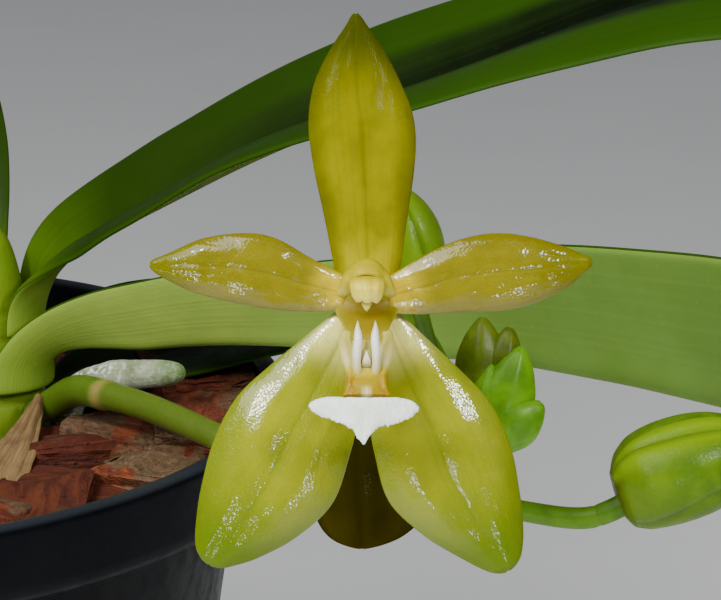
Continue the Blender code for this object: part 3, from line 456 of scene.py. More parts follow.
# name: (height of the foot, how far it clasps the stem to each side in degrees, shape, keel after the foot)
LEAVES = {
    "leaf_upper_right": (110.0, 62, UPPER_LEAF, [
        (37.2, 7.4, 116.2), (40.7, 6.7, 120.0), (48, 3.7, 124.8), (64, -2.3, 133.5), (86, -9.2, 143.2),
        (107, -15.5, 151), (150, -31, 157), (190, -47, 149), (222, -62, 128),
    ]),
    "leaf_pale_right": (103.9, 58, PALE_LEAF, [
        (38.0, 3.2, 107.4), (46, 0.4, 110), (66, -10.5, 112.6), (87, -24.7, 114.4), (105, -41, 114.8),
        (132, -64, 112), (160, -86, 102), (184, -104, 85),
    ]),
    "leaf_low_right": (99.5, 20, LOW_LEAF, [
        (38.5, 10.7, 100.7), (43, 11.5, 103.0), (50, 11.8, 106.0), (61, 17.5, 107.8), (76, 29, 107.5),
        (93, 43, 101), (107, 56, 92),
    ]),
    "leaf_top_left": (112.9, 48, BROAD_LEAF, [
        (24.6, 15.4, 119.5), (17.5, 26, 133), (4, 43, 143.5), (-15, 64, 147.5), (-33, 86, 139.5),
        (-46, 104, 123.5),
    ]),
    "leaf_middle_left": (106.4, 55, BROAD_LEAF, [
        (18, 13.6, 112), (3, 22, 119), (-26, 38, 123), (-58, 56, 116), (-86, 71, 98), (-102, 79, 78),
    ]),
    "leaf_low_left": (101.2, 40, BROAD_LEAF, [
        (18, 0, 106), (0, -13, 112), (-28, -31, 113), (-58, -50, 104), (-84, -67, 86), (-98, -77, 68),
    ]),
}


def leaf_blade(places, ways, shape, x, s):
    """A point of an open blade: x across from the far margin to the near one, s from foot to tip."""
    k = min(round(s * (len(places) - 1)), len(places) - 1)
    side = ways[k].cross(UP).normalized()
    lift = side.cross(ways[k])
    half_width, near_rise, far_rise, near_curl, far_curl = blend(shape, s)
    fold = 0.5 + 0.5 * math.tanh(x * 9.0)
    angle = math.radians(near_rise * fold + far_rise * (1.0 - fold))
    curl = math.radians(near_curl * fold + far_curl * (1.0 - fold))
    reach = abs(x)
    bend = angle - curl * reach * 0.5
    flat = reach * half_width * math.cos(bend)
    rise = (math.sqrt(x * x + 0.0016) - 0.04) * half_width * math.sin(bend)
    return places[k] + side * math.copysign(flat, x) + lift * rise


def make_leaf(name, foot_height, clasp, shape, keel, materials):
    """A leaf that clasps the stem with its foot and opens along its keel into a curved, wavy blade."""
    axis = Vector((*STEM_AXIS, 0.0))
    radius = blend(STEM_PROFILE, foot_height) + GAP + LEAF_THICKNESS / 2 + 0.15
    heading = math.atan2(keel[0][1] - axis.y, keel[0][0] - axis.x)
    foot = axis + Vector((radius * math.cos(heading), radius * math.sin(heading), foot_height))
    places = route([tuple(foot), *keel], 2001)
    ways = tangents(places)
    for _ in range(3):
        ways = [ways[0], *((a + b + c).normalized() for a, b, c in zip(ways, ways[1:], ways[2:])), ways[-1]]
    length = sum((b - a).length for a, b in zip(places, places[1:]))

    def place(x, u):
        s = u - ROWS_AT_ENDS / math.tau * math.sin(math.tau * u)
        opened = min(s * length / LEAF_OPENING, 1.0)
        opened = opened * opened * (3.0 - 2.0 * opened)
        angle = heading - x * math.radians(clasp)
        round_stem = axis + Vector((radius * math.cos(angle), radius * math.sin(angle), foot_height))
        round_stem.z += 0.8 * s * length
        point = round_stem.lerp(leaf_blade(places, ways, shape, x, s), opened)
        wave = grain(point + Vector((foot_height, 0.0, 0.0)), 26.0, 2) * 0.5 * opened
        return point + UP * wave

    leaf = mesh_object(name + "_fine", blade(*LEAF_CELLS, place), *materials)
    place_piece(thicken(leaf, LEAF_THICKNESS, 0.35, 1), "leaf", name)


def make_leaves():
    """All leaves, glossy dark green above and pale grey-green below; the upper right one has the most painted
    shade along its midrib and painted light on its halves.
    """
    greens = ("#587c08", "#203604", "#0a1602", "#3a5e08", "#1e3406", "#2e4a0a")
    # Every leaf top carries some painted shade along its midrib and painted light on its halves; the upper
    # right one carries the most.
    top = leaf_surface("leaf_top", *greens, 0.35, (0.42, 0.58), 0.08)
    groove_shaded_top = leaf_surface("leaf_top_painted_groove", *greens, 0.75, (0.42, 0.58), 0.08)
    pale = ("#7e9a2e", "#98b048", "#527028", "#3c5c1a", "#62803a", "#76923a")
    under = leaf_surface("leaf_underside", *pale, 0.0, (0.5, 0.66), 0.12)
    for name, facts in LEAVES.items():
        make_leaf(name, *facts, (groove_shaded_top if name == "leaf_upper_right" else top, under))


def make_stem():
    """The stem inside its clasping leaf bases: faint rings where leaves were, and lengthwise veins."""
    made = Surface("leaf_base", Subsurface_Weight=0.15, Subsurface_Scale=1.5 * MM, Specular_IOR_Level=0.12)
    level = made.add("MapRange", {0: made.along("Z"), 1: 94.0 * MM, 2: 122.0 * MM})
    made.base = made.add("ValToRGB", {0: level}, ((0.0, "#5c7020"), (0.25, "#708820"), (1.0, "#64820a")))
    made.paint("#5c7812", made.pattern(2.5, 4.0), (0.45, 0.0), (0.75, 0.6))
    made.relief(made.pattern(1.1, 2.0, stretch=(1.0, 1.0, 0.08)), 0.12, 0.7)
    made.relief(made.pattern(0.3, 2.0), 0.02, 0.6)
    material = made.done(made.clouds(1.0, (0.3, 0.36), (0.7, 0.55)))
    steps = 90
    bottom, top = STEM_PROFILE[0][0], STEM_PROFILE[-1][0]
    outline = [(0.0, bottom)]
    for i in range(steps + 1):
        height = bottom + (top - bottom) * i / steps
        ring = 0.0
        for scar in STEM_SCARS:
            ring -= 0.22 * hump(height - scar, 0.3)
        outline.append((blend(STEM_PROFILE, height) + ring, height))
    outline.append((0.0, top))
    bm = lathe(outline, 64)
    bmesh.ops.translate(bm, vec=(*STEM_AXIS, 0.0), verts=bm.verts)
    solid_piece("stem_fine", bm, material, "leaf_base", "stem")


POT_HEIGHT = 105.0
RIM_RADIUS = 62.0
BASE_RADIUS = 43.0
WALL = 1.3
LIP_HEIGHT = 8.0
LEDGE = 2.5
SHOULDER = POT_HEIGHT - LIP_HEIGHT - LEDGE
LEDGE_TOP = SHOULDER + LEDGE
WALL_TOP = RIM_RADIUS - 5.5
RIM_INSIDE = RIM_RADIUS - 2 * WALL
FOOT_ROUND = 2.0
DRAINS = 6
DRAIN_CIRCLE = 29.0
DRAIN_RADIUS = 4.0


def pot_surface():
    """Moulded black plastic: satin, a little uneven, with grey dust, dull stains and a painted highlight
    along the top of the rim.
    """
    made = Surface("pot_plastic", Specular_IOR_Level=0.09, IOR=1.49)
    made.base = made.clouds(14.0, (0.3, "#040508"), (0.7, "#080a10"), detail=4.0)
    made.paint("#3a3c42", made.pattern(0.7, 4.0), (0.66, 0.0), (0.78, 0.15))
    stains = made.pattern(6.0, 5.0, stretch=(1.0, 1.0, 0.3))
    made.paint("#151414", stains, (0.58, 0.0), (0.8, 0.35))
    # Painted highlight: a lighter band along the top 0.7 mm of the rim.
    painted_rim_highlight = made.add("MapRange", {0: made.along("Z"), 1: (POT_HEIGHT - 0.7) * MM, 2: POT_HEIGHT * MM})
    made.paint("#30343c", painted_rim_highlight, (0.3, 0.0), (0.9, 0.6))
    made.relief(made.pattern(0.35), 0.03, 0.6)
    made.relief(made.pattern(5.0, 2.0), 0.12, 0.5)
    return made.done(made.clouds(2.5, (0.3, 0.3), (0.75, 0.5), detail=4.0))


def pot_profile():
    """(radius, height) from the middle of the underside out, up the wall, over the rim and down inside."""
    foot = BASE_RADIUS - FOOT_ROUND
    profile = [(0.0, 0.0), (foot, 0.0)]
    for i in range(1, 6):
        angle = math.pi / 2 * i / 6
        profile.append((foot + FOOT_ROUND * math.sin(angle), FOOT_ROUND - FOOT_ROUND * math.cos(angle)))
    profile += [(BASE_RADIUS, FOOT_ROUND), (BASE_RADIUS + 0.5, 5.0)]
    for i in range(1, 24):
        share = i / 24
        profile.append((BASE_RADIUS + (WALL_TOP - BASE_RADIUS) * share, 2.0 + (SHOULDER - 2.0) * share))
    profile.append((WALL_TOP, SHOULDER))
    for inset, height in ((1.5, -0.2), (0.5, 0.2), (0.1, 0.9), (0.0, 1.8)):
        profile.append((RIM_RADIUS - inset, LEDGE_TOP + height))
    profile.append((RIM_RADIUS, POT_HEIGHT - 1.0))
    for i in range(0, 13):
        angle = math.pi * i / 12
        reach = (RIM_RADIUS + RIM_INSIDE) / 2 + (RIM_RADIUS - RIM_INSIDE) / 2 * math.cos(angle)
        profile.append((reach, POT_HEIGHT - 0.7 + 0.7 * math.sin(angle)))
    profile += [(RIM_INSIDE, LEDGE_TOP + 0.6), (RIM_INSIDE - 0.5, LEDGE_TOP - 0.2)]
    return profile + [(WALL_TOP - WALL, SHOULDER), (BASE_RADIUS - WALL, 2.0), (0.0, 2.0)]


def make_pot():
    """The nursery pot with its stepped lip, rounded rim and drain holes."""
    pot = mesh_object("pot_fine", lathe(pot_profile(), 216), pot_surface())
    cutters = bpy.data.collections.new("drains")
    bpy.context.scene.collection.children.link(cutters)
    for i in range(DRAINS):
        angle = math.tau * i / DRAINS
        bm = bmesh.new()
        spot = Matrix.Translation((DRAIN_CIRCLE * math.cos(angle), DRAIN_CIRCLE * math.sin(angle), 1.0))
        size = {"radius1": DRAIN_RADIUS, "radius2": DRAIN_RADIUS, "depth": 8.0}
        bmesh.ops.create_cone(bm, cap_ends=True, segments=32, matrix=spot, **size)
        drain = mesh_object(f"drain_{i}", bm)
        bpy.context.scene.collection.objects.unlink(drain)
        cutters.objects.link(drain)
    modify(pot, "BOOLEAN", operation="DIFFERENCE", operand_type="COLLECTION", collection=cutters)
    applied(pot)
    for drain in list(cutters.objects):
        bpy.data.objects.remove(drain)
    bpy.data.collections.remove(cutters)
    pot.data.set_sharp_from_angle(angle=math.radians(50))
    place_piece(pot, "pot_plastic", "pot")


SEED = 11
BARK_LEVEL = 94.0
BARK_FLOOR = 80.0
BARK_CLEARANCE = 0.7
CHIP_SPACING = 16.5
ROW_SPACING = CHIP_SPACING * 0.87
STEM_CLEARING = 19.0
BARK_HEAP = 5.7
HEAP_HEADING = math.radians(28.0)
# (centre, (length, width, thickness), heading, tone from red 0 to corky 1)
LOOSE_CHIPS = [
    ((51.5, 11.0, 102.6), (21.0, 13.0, 7.0), 104.0, 0.35),
    ((53.0, -3.5, 101.6), (17.0, 12.0, 6.5), 86.0, 0.7),
    ((43.0, 31.0, 100.6), (20.0, 12.0, 7.0), 128.0, 0.4),
    ((39.5, -3.5, 98.4), (16.0, 11.0, 6.0), 15.0, 0.12),
    ((48.5, -12.0, 98.4), (15.0, 12.0, 6.0), 70.0, 1.0),
    ((29.0, -19.0, 96.5), (19.0, 12.0, 6.0), 160.0, 0.3),
]


def pot_inner_radius(height):
    """How far the inside of the pot's wall is from its axis at a height."""
    if height >= LEDGE_TOP:
        return RIM_INSIDE
    if height > SHOULDER:
        share = (height - SHOULDER) / LEDGE
        return (WALL_TOP - WALL) * (1 - share) + RIM_INSIDE * share
    return BASE_RADIUS + (WALL_TOP - BASE_RADIUS) * min(height, SHOULDER) / SHOULDER - WALL


def chip_layout():
    """(centre, length, width, thickness, turn) of each chip, drawn in the same order as the frame's."""
    draw = random.Random(SEED)
    reach = RIM_RADIUS - 6.0
    rows = int(reach / ROW_SPACING) + 1
    chips = []
    for row in range(-rows, rows + 1):
        for column in range(-rows - 1, rows + 2):
            x = (column + 0.5 * (row % 2)) * CHIP_SPACING + draw.uniform(-2.5, 2.5)
            y = row * ROW_SPACING + draw.uniform(-2.5, 2.5)
            length = draw.uniform(17.0, 26.0)
            width = length * draw.uniform(0.5, 0.8)
            thickness = draw.uniform(6.0, 10.0)
            heading = draw.uniform(0.0, math.pi)
            lean = (draw.uniform(-0.22, 0.22), draw.uniform(-0.22, 0.22))
            proud = draw.uniform(-1.0, 2.2)
            if math.hypot(x, y) > reach:
                continue
            toward = max(math.cos(math.atan2(y, x) - HEAP_HEADING), 0.0) * min(math.hypot(x, y) / 40.0, 1.0)
            by_stem = math.dist((x, y), STEM_AXIS) < STEM_CLEARING
            height = BARK_LEVEL + (-2.5 if by_stem else proud + BARK_HEAP * toward**4)
            turn = Matrix.Rotation(heading, 4, "Z") @ Matrix.Rotation(lean[0], 4, "X")
            turn = turn @ Matrix.Rotation(lean[1], 4, "Y")
            chips.append(((x, y, height), length, width, thickness, turn))
    return chips


def bark_surface():
    """Split pine bark: red-brown layers, corky tan patches and dark pits, varied from chip to chip."""
    made = Surface("bark", Specular_IOR_Level=0.3)
    local = made.add("Attribute", out="Vector", attribute_name="grain")
    chip = made.add("Attribute", out="Fac", attribute_name="chip")
    layers = made.pattern(1.3, 4.0, 0.6, local, (0.25, 1.0, 2.6), 0.6)
    reds = ((0.25, "#361508"), (0.45, "#642a11"), (0.62, "#7e401f"), (0.8, "#92602e"))
    made.base = made.add("ValToRGB", {0: layers}, reds)
    tans = ((0.3, "#3e2c1c"), (0.5, "#6a5238"), (0.75, "#88725a"))
    tans = made.clouds(1.0, *tans, detail=5.0, rough=0.7, over=local)
    corky = made.add("Math", {0: chip, 1: 0.5}, operation="SUBTRACT")
    corky = made.add("Math", {0: corky, 1: 0.34}, operation="MULTIPLY")
    corky = made.add("Math", {0: made.pattern(7.5, 3.0, 0.5, local), 1: corky}, operation="ADD")
    made.paint(tans, corky, (0.52, 0.0), (0.6, 1.0))
    holes = made.pattern(1.6, over=local, cells=True)
    made.paint("#22100b", holes, (0.08, 0.55), (0.2, 0.0))
    tone = made.add("ValToRGB", {0: chip}, ((0.0, "#8c6a5c"), (0.5, "#c9b2a4"), (1.0, "#ffffff")))
    toned = {0: 0.75, 6: made.base, 7: tone}
    made.base = made.add("Mix", toned, out=2, data_type="RGBA", blend_type="MULTIPLY")
    made.relief(layers, 0.9, 0.8)
    made.relief(made.pattern(0.45, 4.0, 0.7, local), 0.25, 0.8)
    made.relief(made.add("ValToRGB", {0: holes}, ((0.08, 1.0), (0.2, 0.0))), -0.5, 0.6)
    return made.done(made.clouds(1.5, (0.3, 0.7), (0.7, 0.95)))


def split_chip(draw, sides):
    """A block of bark with its corners drawn in and its edges worn, cut into small faces."""
    losses = [*zip(sides, (0.3, 0.3, 0.15))] * 8
    sizes = [side * (1.0 - draw.uniform(0.0, loss)) for side, loss in losses]
    chip = bmesh.new()
    bmesh.ops.create_cube(chip, size=1.0)
    for k, vertex in enumerate(chip.verts):
        vertex.co = Vector(a * b for a, b in zip(vertex.co, sizes[3 * k : 3 * k + 3]))
    bmesh.ops.bevel(chip, geom=chip.edges[:], offset=0.9, segments=2, profile=0.6, affect="EDGES")
    bmesh.ops.triangulate(chip, faces=chip.faces)
    for longest, cuts in ((2.4, 3), (1.5, 1)):
        edges = [edge for edge in chip.edges if edge.calc_length() > longest]
        bmesh.ops.subdivide_edges(chip, edges=edges, cuts=cuts, use_grid_fill=True)
        bmesh.ops.triangulate(chip, faces=chip.faces)
    chip.normal_update()
    return chip


def weathered(vertex, k):
    """Where a point of chip k moves to: knobs all over and thin layers along its sides."""
    spot = Vector((vertex.co.x * 0.35, vertex.co.y, vertex.co.z * 2.2)) + Vector((k * 31.0, 0.0, 0.0))
    depth = grain(spot, 4.5, 4) * 0.75 + grain(spot, 1.4, 3) * 0.3
    layer = 0.25 * math.sin(vertex.co.z * 4.2 + grain(spot, 6.0, 2) * 3.0)
    return vertex.co + vertex.normal * (depth + layer * (1.0 - abs(vertex.normal.z)) - 0.2)


def make_bark():
    """Every chip of the frame's bed again, split and weathered, and loose ones, over a dark filling."""
    layout = [(*chip, random.Random(k * 7 + 3).random()) for k, chip in enumerate(chip_layout())]
    for centre, size, heading, shade in LOOSE_CHIPS:
        layout.append((centre, *size, Matrix.Rotation(math.radians(heading), 4, "Z"), shade))
    draw = random.Random(SEED + 1)
    bm = bmesh.new()
    local = bm.verts.layers.float_vector.new("grain")
    tone = bm.verts.layers.float.new("chip")
    for k, (centre, *sides, turn, shade) in enumerate(layout):
        chip = split_chip(draw, sides)
        matrix = Matrix.Translation(centre) @ turn
        index = {}
        for vertex in chip.verts:
            point = matrix @ weathered(vertex, k)
            limit = pot_inner_radius(max(point.z, 2.0)) - BARK_CLEARANCE
            spread = math.hypot(point.x, point.y)
            if spread > limit:
                point.x *= limit / spread
                point.y *= limit / spread
            point.z = max(point.z, BARK_FLOOR)
            index[vertex] = bm.verts.new(point)
            index[vertex][local] = (vertex.co + Vector((k * 17.0, k * 5.0, 0.0))) * MM
            index[vertex][tone] = shade
        for face in chip.faces:
            bm.faces.new([index[vertex] for vertex in face.verts])
        chip.free()
    material = bark_surface()
    chips = mesh_object("bark_chips", bm, material)
    chips.data.set_sharp_from_angle(angle=math.radians(38))
    place_piece(chips, "bark", "bark_bed")
    low, high = 2.7, BARK_LEVEL - 1.5
    widths = [pot_inner_radius(height) - BARK_CLEARANCE for height in (2.0, high)]
    filling = lathe([(0.0, low), (widths[0], low), (widths[1], high), (0.0, high)], 96)
    local = filling.verts.layers.float_vector.new("grain")
    for vertex in filling.verts:
        vertex[local] = vertex.co * MM
    solid_piece("bark_filling", filling, material, "bark")


# name: (radius, points)
ROOTS = {
    "root_back": (1.9, [(32.6, 13.9, 98.1), (37, 20.5, 101.2), (43, 25.5, 102.6), (46.5, 25, 101.4),
                        (48, 20, 96), (48, 14, 88)]),
    "root_left": (2.1, [(22.4, 9.2, 98.0), (12, 12, 101.6), (0, 11, 102.8), (-12, 4, 101.8), (-22, -6, 96),
                        (-26, -12, 86)]),
    "root_front": (1.8, [(26.1, 2.0, 98.0), (20, -9, 101.4), (13, -23, 102.6), (8, -35, 99), (6, -42, 87)]),
    "root_right": (1.7, [(35.3, 5.1, 97.9), (37.4, 4.3, 99.6), (38.0, 3.2, 102.0), (39.2, 1.4, 104.6),
                         (42.8, -1.5, 106.8), (47.4, -4.1, 107.9), (51.2, -6.0, 108.6)]),
}
ROOT_PLACES = 131
BURIED_PLACES = 9
ROOT_TAPER = [(0.0, 0.8), (0.2, 1.0), (0.75, 0.95), (0.93, 0.75), (0.98, 0.5), (1.0, 0.15)]


def root_surface():
    """Silvery spongy skin, streaked and dotted with white, green where it is thin and new; the white dots
    near its foot are partly pores and partly painted glints.
    """
    made = Surface("root", Sheen_Weight=0.15)
    made.base = made.clouds(3.0, (0.3, "#66744c"), (0.5, "#868f70"), (0.75, "#a4a890"), detail=4.0)
    streak = made.pattern(0.9, over="UV", stretch=(0.03, 0.003, 1.0))
    made.paint("#5c6448", streak, (0.45, 0.0), (0.7, 0.5))
    length = made.along("Y", "UV")
    made.paint("#4f6a24", length, (0.82, 0.0), (0.95, 0.7), (1.0, 1.0))
    # Near the foot the white dots stand partly for pores and partly for painted glints.
    old = made.add("ValToRGB", {0: length}, ((0.5, 1.0), (0.8, 0.2)))
    made.paint("#eef4ec", made.pattern(0.6), (0.46, 0.0), (0.66, 0.7), share=old)
    made.relief(streak, 0.08, 0.7)
    made.relief(made.pattern(0.3), 0.05, 0.7)
    return made.done(made.clouds(0.8, (0.3, 0.6), (0.7, 0.85)))


def make_roots():
    """Aerial roots with small swellings; all but the right one end down in the bark."""
    material = root_surface()
    for name, (radius, points) in ROOTS.items():

        def swell(s, angle, seed=radius):
            bump = wobble(s * 9.0, seed * 11.0) * 0.08
            return 1.0 + bump + wobble(s * 30.0, math.cos(angle), math.sin(angle)) * 0.03

        kept = ROOT_PLACES if name == "root_right" else ROOT_PLACES - BURIED_PLACES
        places = route(points, ROOT_PLACES)[:kept]
        sizes = [(radius * blend(ROOT_TAPER, i / (ROOT_PLACES - 1)),) * 2 for i in range(kept)]
        bm = sweep(places, sizes, 32, Vector((0.3, 0.9, 0.1)), swell)
        solid_piece(name + "_fine", bm, material, "root", name)


def make_dried_sheath():
    """The papery remains of an old leaf base: ribbed, creased and curling at its torn edge."""
    made = Surface("dry_sheath", Subsurface_Weight=0.1, Subsurface_Scale=1.0 * MM)
    fibres = made.pattern(1.0, over="UV", stretch=(0.04, 0.002, 1.0))
    made.base = made.add("ValToRGB", {0: fibres}, ((0.25, "#583e1e"), (0.5, "#745a34"), (0.8, "#8c7248")))
    made.paint("#50361c", made.pattern(2.2, 4.0), (0.45, 0.0), (0.7, 0.7))
    made.relief(fibres, 0.16, 0.8)
    made.relief(made.pattern(0.3), 0.04, 0.6)
    material = made.done(0.78)
    steps = 160
    keel = [(35.0, 0.0, 103.6), (34.4, -3.2, 102.4), (33.2, -7.0, 100.4), (31.0, -11.8, 97.4)]
    keel = route(keel, steps + 1)
    ways = tangents(keel)

    def place(x, s):
        k = min(round(s * steps), steps)
        side = ways[k].cross(UP).normalized()
        half_width = blend([(0.0, 0.4), (0.3, 1.3), (0.7, 2.9), (1.0, 3.8)], s)
        half_width *= 1.0 + 0.12 * wobble(s * 7.0, math.copysign(2.0, x))
        droop = 1.2 * x * x * (1.0 - 0.5 * s)
        crease = 0.22 * math.sin(x * 11.0 + 2.0 * wobble(s * 4.0, 5.0)) * min(s * 3.0, 1.0)
        torn = (1.3 * wobble(x * 2.2, 9.0) + 0.5 * wobble(x * 7.0, 4.0)) * s**3
        return keel[k] + side * x * half_width + UP * (0.9 - droop + crease) + ways[k] * torn

    sheath = mesh_object("dried_sheath_fine", blade(30, 40, place), material)
    place_piece(thicken(sheath, 0.45), "dry_sheath", "dried_sheath")


SPIKE_ROUTE = [
    (34.4, 3.7, 101.0), (36.6, 1.1, 103.2), (39.4, -2.9, 105.7), (42.9, -8.1, 106.6), (48.0, -15.3, 107.2),
    (55.1, -27.4, 107.7), (63.1, -40.7, 108.2), (70.9, -53.6, 110.1), (77.3, -64.0, 114.0),
    (80.8, -69.0, 118.6), (82.2, -70.0, 123.0), (81.9, -69.6, 127.6),
]
SPIKE_RADIUS = [(0.0, 1.6), (0.25, 1.45), (0.75, 1.3), (0.87, 1.6), (0.93, 1.6), (0.97, 0.8), (1.0, 0.2)]
# (foot, direction it points, direction it bulges, length, half width)
BRACTS = [
    ((80.9, -69.6, 123.4), (0.02, 0.24, 0.97), (-0.2, -0.95, 0.1), 7.2, 2.4),
    ((82.4, -69.6, 124.6), (0.16, 0.24, 0.95), (0.3, -0.9, 0.2), 5.2, 1.7),
    ((82.2, -71.6, 120.8), (0.28, 0.23, 0.93), (0.1, -0.97, 0.2), 7.9, 2.5),
    ((81.2, -71.3, 119.6), (0.1, 0.2, 0.97), (-0.3, -0.95, 0.2), 7.2, 2.3),
    ((82.3, -71.6, 119.9), (0.72, 0.1, 0.68), (0.35, -0.9, -0.2), 5.2, 2.5),
    ((80.0, -68.6, 116.6), (-0.2, -0.5, 0.85), (-0.7, -0.7, 0.0), 3.6, 1.8),
]
# How many of the first bracts, the topmost, get the darker olive skin of painted shade.
SHADED_BRACTS = 2


def make_spike():
    """The stalk, green and finely ridged, with a swollen pale node, and the bracts at its tip."""
    made = Surface("stalk", Subsurface_Weight=0.2, Subsurface_Scale=1.0 * MM, Coat_Weight=0.2,
                   Coat_Roughness=0.3)
    greens = ((0.0, "#46600c"), (0.145, "#4a640e"), (0.16, "#8c7c3e"), (0.175, "#4e6410"), (0.6, "#4c6212"),
              (1.0, "#507410"))
    made.base = made.add("ValToRGB", {0: made.along("Y", "UV")}, greens)
    made.paint("#5a7018", made.pattern(2.6, 4.0), (0.4, 0.0), (0.75, 0.4))
    made.paint("#3a520a", made.pattern(0.35, 2.0), (0.64, 0.0), (0.72, 0.5))
    made.relief(made.pattern(0.25, 2.0), 0.025, 0.7)
    made.relief(made.pattern(1.0, 2.0, over="UV", stretch=(0.06, 0.001, 1.0)), 0.06, 0.6)
    material = made.done(made.clouds(0.8, (0.3, 0.34), (0.7, 0.5)))

    def node(s, angle):
        slant = s - 0.16 + 0.012 * math.cos(angle)
        sleeve = 0.1 / (1.0 + math.exp(slant / 0.003))
        return 1.0 + sleeve + 0.07 * hump(slant, 0.007) + 0.06 * hump(s - 0.86, 0.02)

    solid_piece("spike_fine", tube(SPIKE_ROUTE, SPIKE_RADIUS, 32, 240, UP, node), material, "stalk", "spike")
    fresh = fleshy_surface("bract", "#4c7c02", "#649806", "#34580a", (0.34, 0.5), 2.2, 0.2)
    # Painted shade: the topmost bracts get a darker olive skin.
    dull = fleshy_surface("bract_painted_shade", "#3b4d00", "#5b6b02", "#2f3c02", (0.4, 0.56), 2.2, 0.2)
    for k, facts in enumerate(BRACTS):
        make_bract(f"bract_{k}", *facts, dull if k < SHADED_BRACTS else fresh)


def make_bract(name, foot, way, out, length, half_width, material):
    """A cupped fleshy scale with a blunt keel and a pointed tip."""
    foot, way, out = Vector(foot), Vector(way).normalized(), Vector(out).normalized()
    side = way.cross(out).normalized()
    out = side.cross(way).normalized()

    def place(x, s):
        width = half_width * blend([(0.0, 0.75), (0.4, 1.02), (0.75, 0.66), (0.93, 0.24), (1.0, 0.05)], s)
        cup = 1.0 - 1.15 * x * x * (1.0 - 0.35 * s)
        bulge = 0.9 * math.sin(math.pi * min(s * 0.9 + 0.1, 1.0)) + 0.55
        keel = 0.16 * hump(x, 0.16) * (1.0 - s * 0.5)
        return foot + way * (length * s) + side * (x * width) + out * (bulge * cup + keel)

    piece = mesh_object(name, blade(18, 24, place), material)
    place_piece(thicken(piece, 0.8, 0.35), "stalk")


# name: (points, radii)
PEDICELS = {
    "pedicel_bloom": (
        [(73.0, -59.7, 113.7), (74.0, -60.4, 119.0), (74.0, -65.0, 129.0), (71.8, -75.0, 135.4),
         (70.6, -83.0, 136.4), (70.5, -88.4, 137.1)],
        [(0.0, 0.95), (0.5, 1.0), (1.0, 1.3)],
    ),
    "pedicel_young": (
        [(78.5, -68.9, 120.4), (78.0, -70.3, 124.0), (76.0, -71.9, 129.0), (73.4, -72.9, 131.6),
         (71.3, -73.0, 131.0)],
        [(0.0, 0.85), (0.5, 0.9), (1.0, 1.15)],
    ),
    "pedicel_bud_right": (
        [(80.1, -66.0, 114.3), (82.0, -66.4, 112.6), (86.0, -67.0, 111.7), (90.5, -67.5, 111.4),
         (93.25, -67.6, 112.35), (96.2, -67.4, 114.2)],
        [(0.0, 0.9), (0.5, 1.0), (1.0, 1.1)],
    ),
    "pedicel_bud_upright": (
        [(80.7, -72.6, 122.4), (78.6, -75.8, 125.6), (76.2, -79.4, 130.6), (75.2, -80.6, 134.0),
         (75.0, -80.7, 135.2)],
        [(0.0, 0.6), (0.6, 0.6), (1.0, 0.75)],
    ),
}
# name: (foot, tip, half width, half height, depth of the chin under its foot)
BUDS = {
    "bud_right": ((93.2, -67.5, 114.1), (107.6, -65.8, 118.4), 4.6, 4.7, 0.8),
    "bud_upright": ((74.8, -80.8, 135.6), (73.8, -79.8, 144.8), 2.8, 2.8, 0.0),
}
BUD_PLACES = 72
# (angle at the foot, angle at the tip) of each seam, in degrees round the bud from its upper side
BUD_SEAMS = ((95, 95), (212, 285), (350, 325))
BUD_GIRTH = [
    (0.0, 0.3), (0.06, 0.62), (0.18, 0.9), (0.4, 1.0), (0.65, 0.9), (0.85, 0.6), (0.96, 0.28), (1.0, 0.08),
]


def make_buds():
    """Buds with the seams of their closed sepals and a brown chin, on ridged stalks."""
    skin = fleshy_surface("pedicel", "#446a04", "#547c08", "#34540a", (0.32, 0.48), 2.4, 0.15)

    def ridge(s, angle):
        return 1.0 + 0.035 * math.cos(angle * 6.0) * s - 0.07 * hump(s - 0.7, 0.012)

    for name, (points, radii) in PEDICELS.items():
        bm = tube(points, radii, 36, 90, Vector((0.1, 0.2, 1.0)), ridge)
        solid_piece(name + "_fine", bm, skin, "stalk", name)
    skins = {
        "bud_right": bud_surface("bud", "#587400", "#466a00", "#84a406"),
        "bud_upright": bud_surface("bud_small", "#7ca406", "#84ae10", "#a8cc20"),
    }
    for name, (foot, tip, half_width, half_height, chin_depth) in BUDS.items():
        spots = [0.5 - 0.5 * math.cos(math.pi * i / (BUD_PLACES - 1)) for i in range(BUD_PLACES)]
        places = [Vector(foot).lerp(Vector(tip), spot) for spot in spots]
        sizes = [(half_width * blend(BUD_GIRTH, s), half_height * blend(BUD_GIRTH, s)) for s in spots]

        def seams(s, angle, chin_depth=chin_depth):
            spot = 0.5 - 0.5 * math.cos(math.pi * s)
            lines = [math.radians(start + (end - start) * s) for start, end in BUD_SEAMS]
            away = min(abs(math.remainder(angle - line, math.tau)) for line in lines)
            strength = math.sin(math.pi * min(spot + 0.06, 1.0))
            groove = -0.075 * hump(away, 0.13) * strength
            lobe = 0.05 * (1.0 - hump(away, 0.55)) * strength
            low = max(-math.cos(angle), 0.0) ** 1.5
            chin = chin_depth * math.exp(-spot / 0.085) * (0.25 + 0.75 * low)
            return 1.0 + groove + lobe + chin

        bm = sweep(places, sizes, 96, Vector((0.0, 1.0, 0.2)), seams)
        solid_piece(name + "_fine", bm, skins[name], "bud", name)


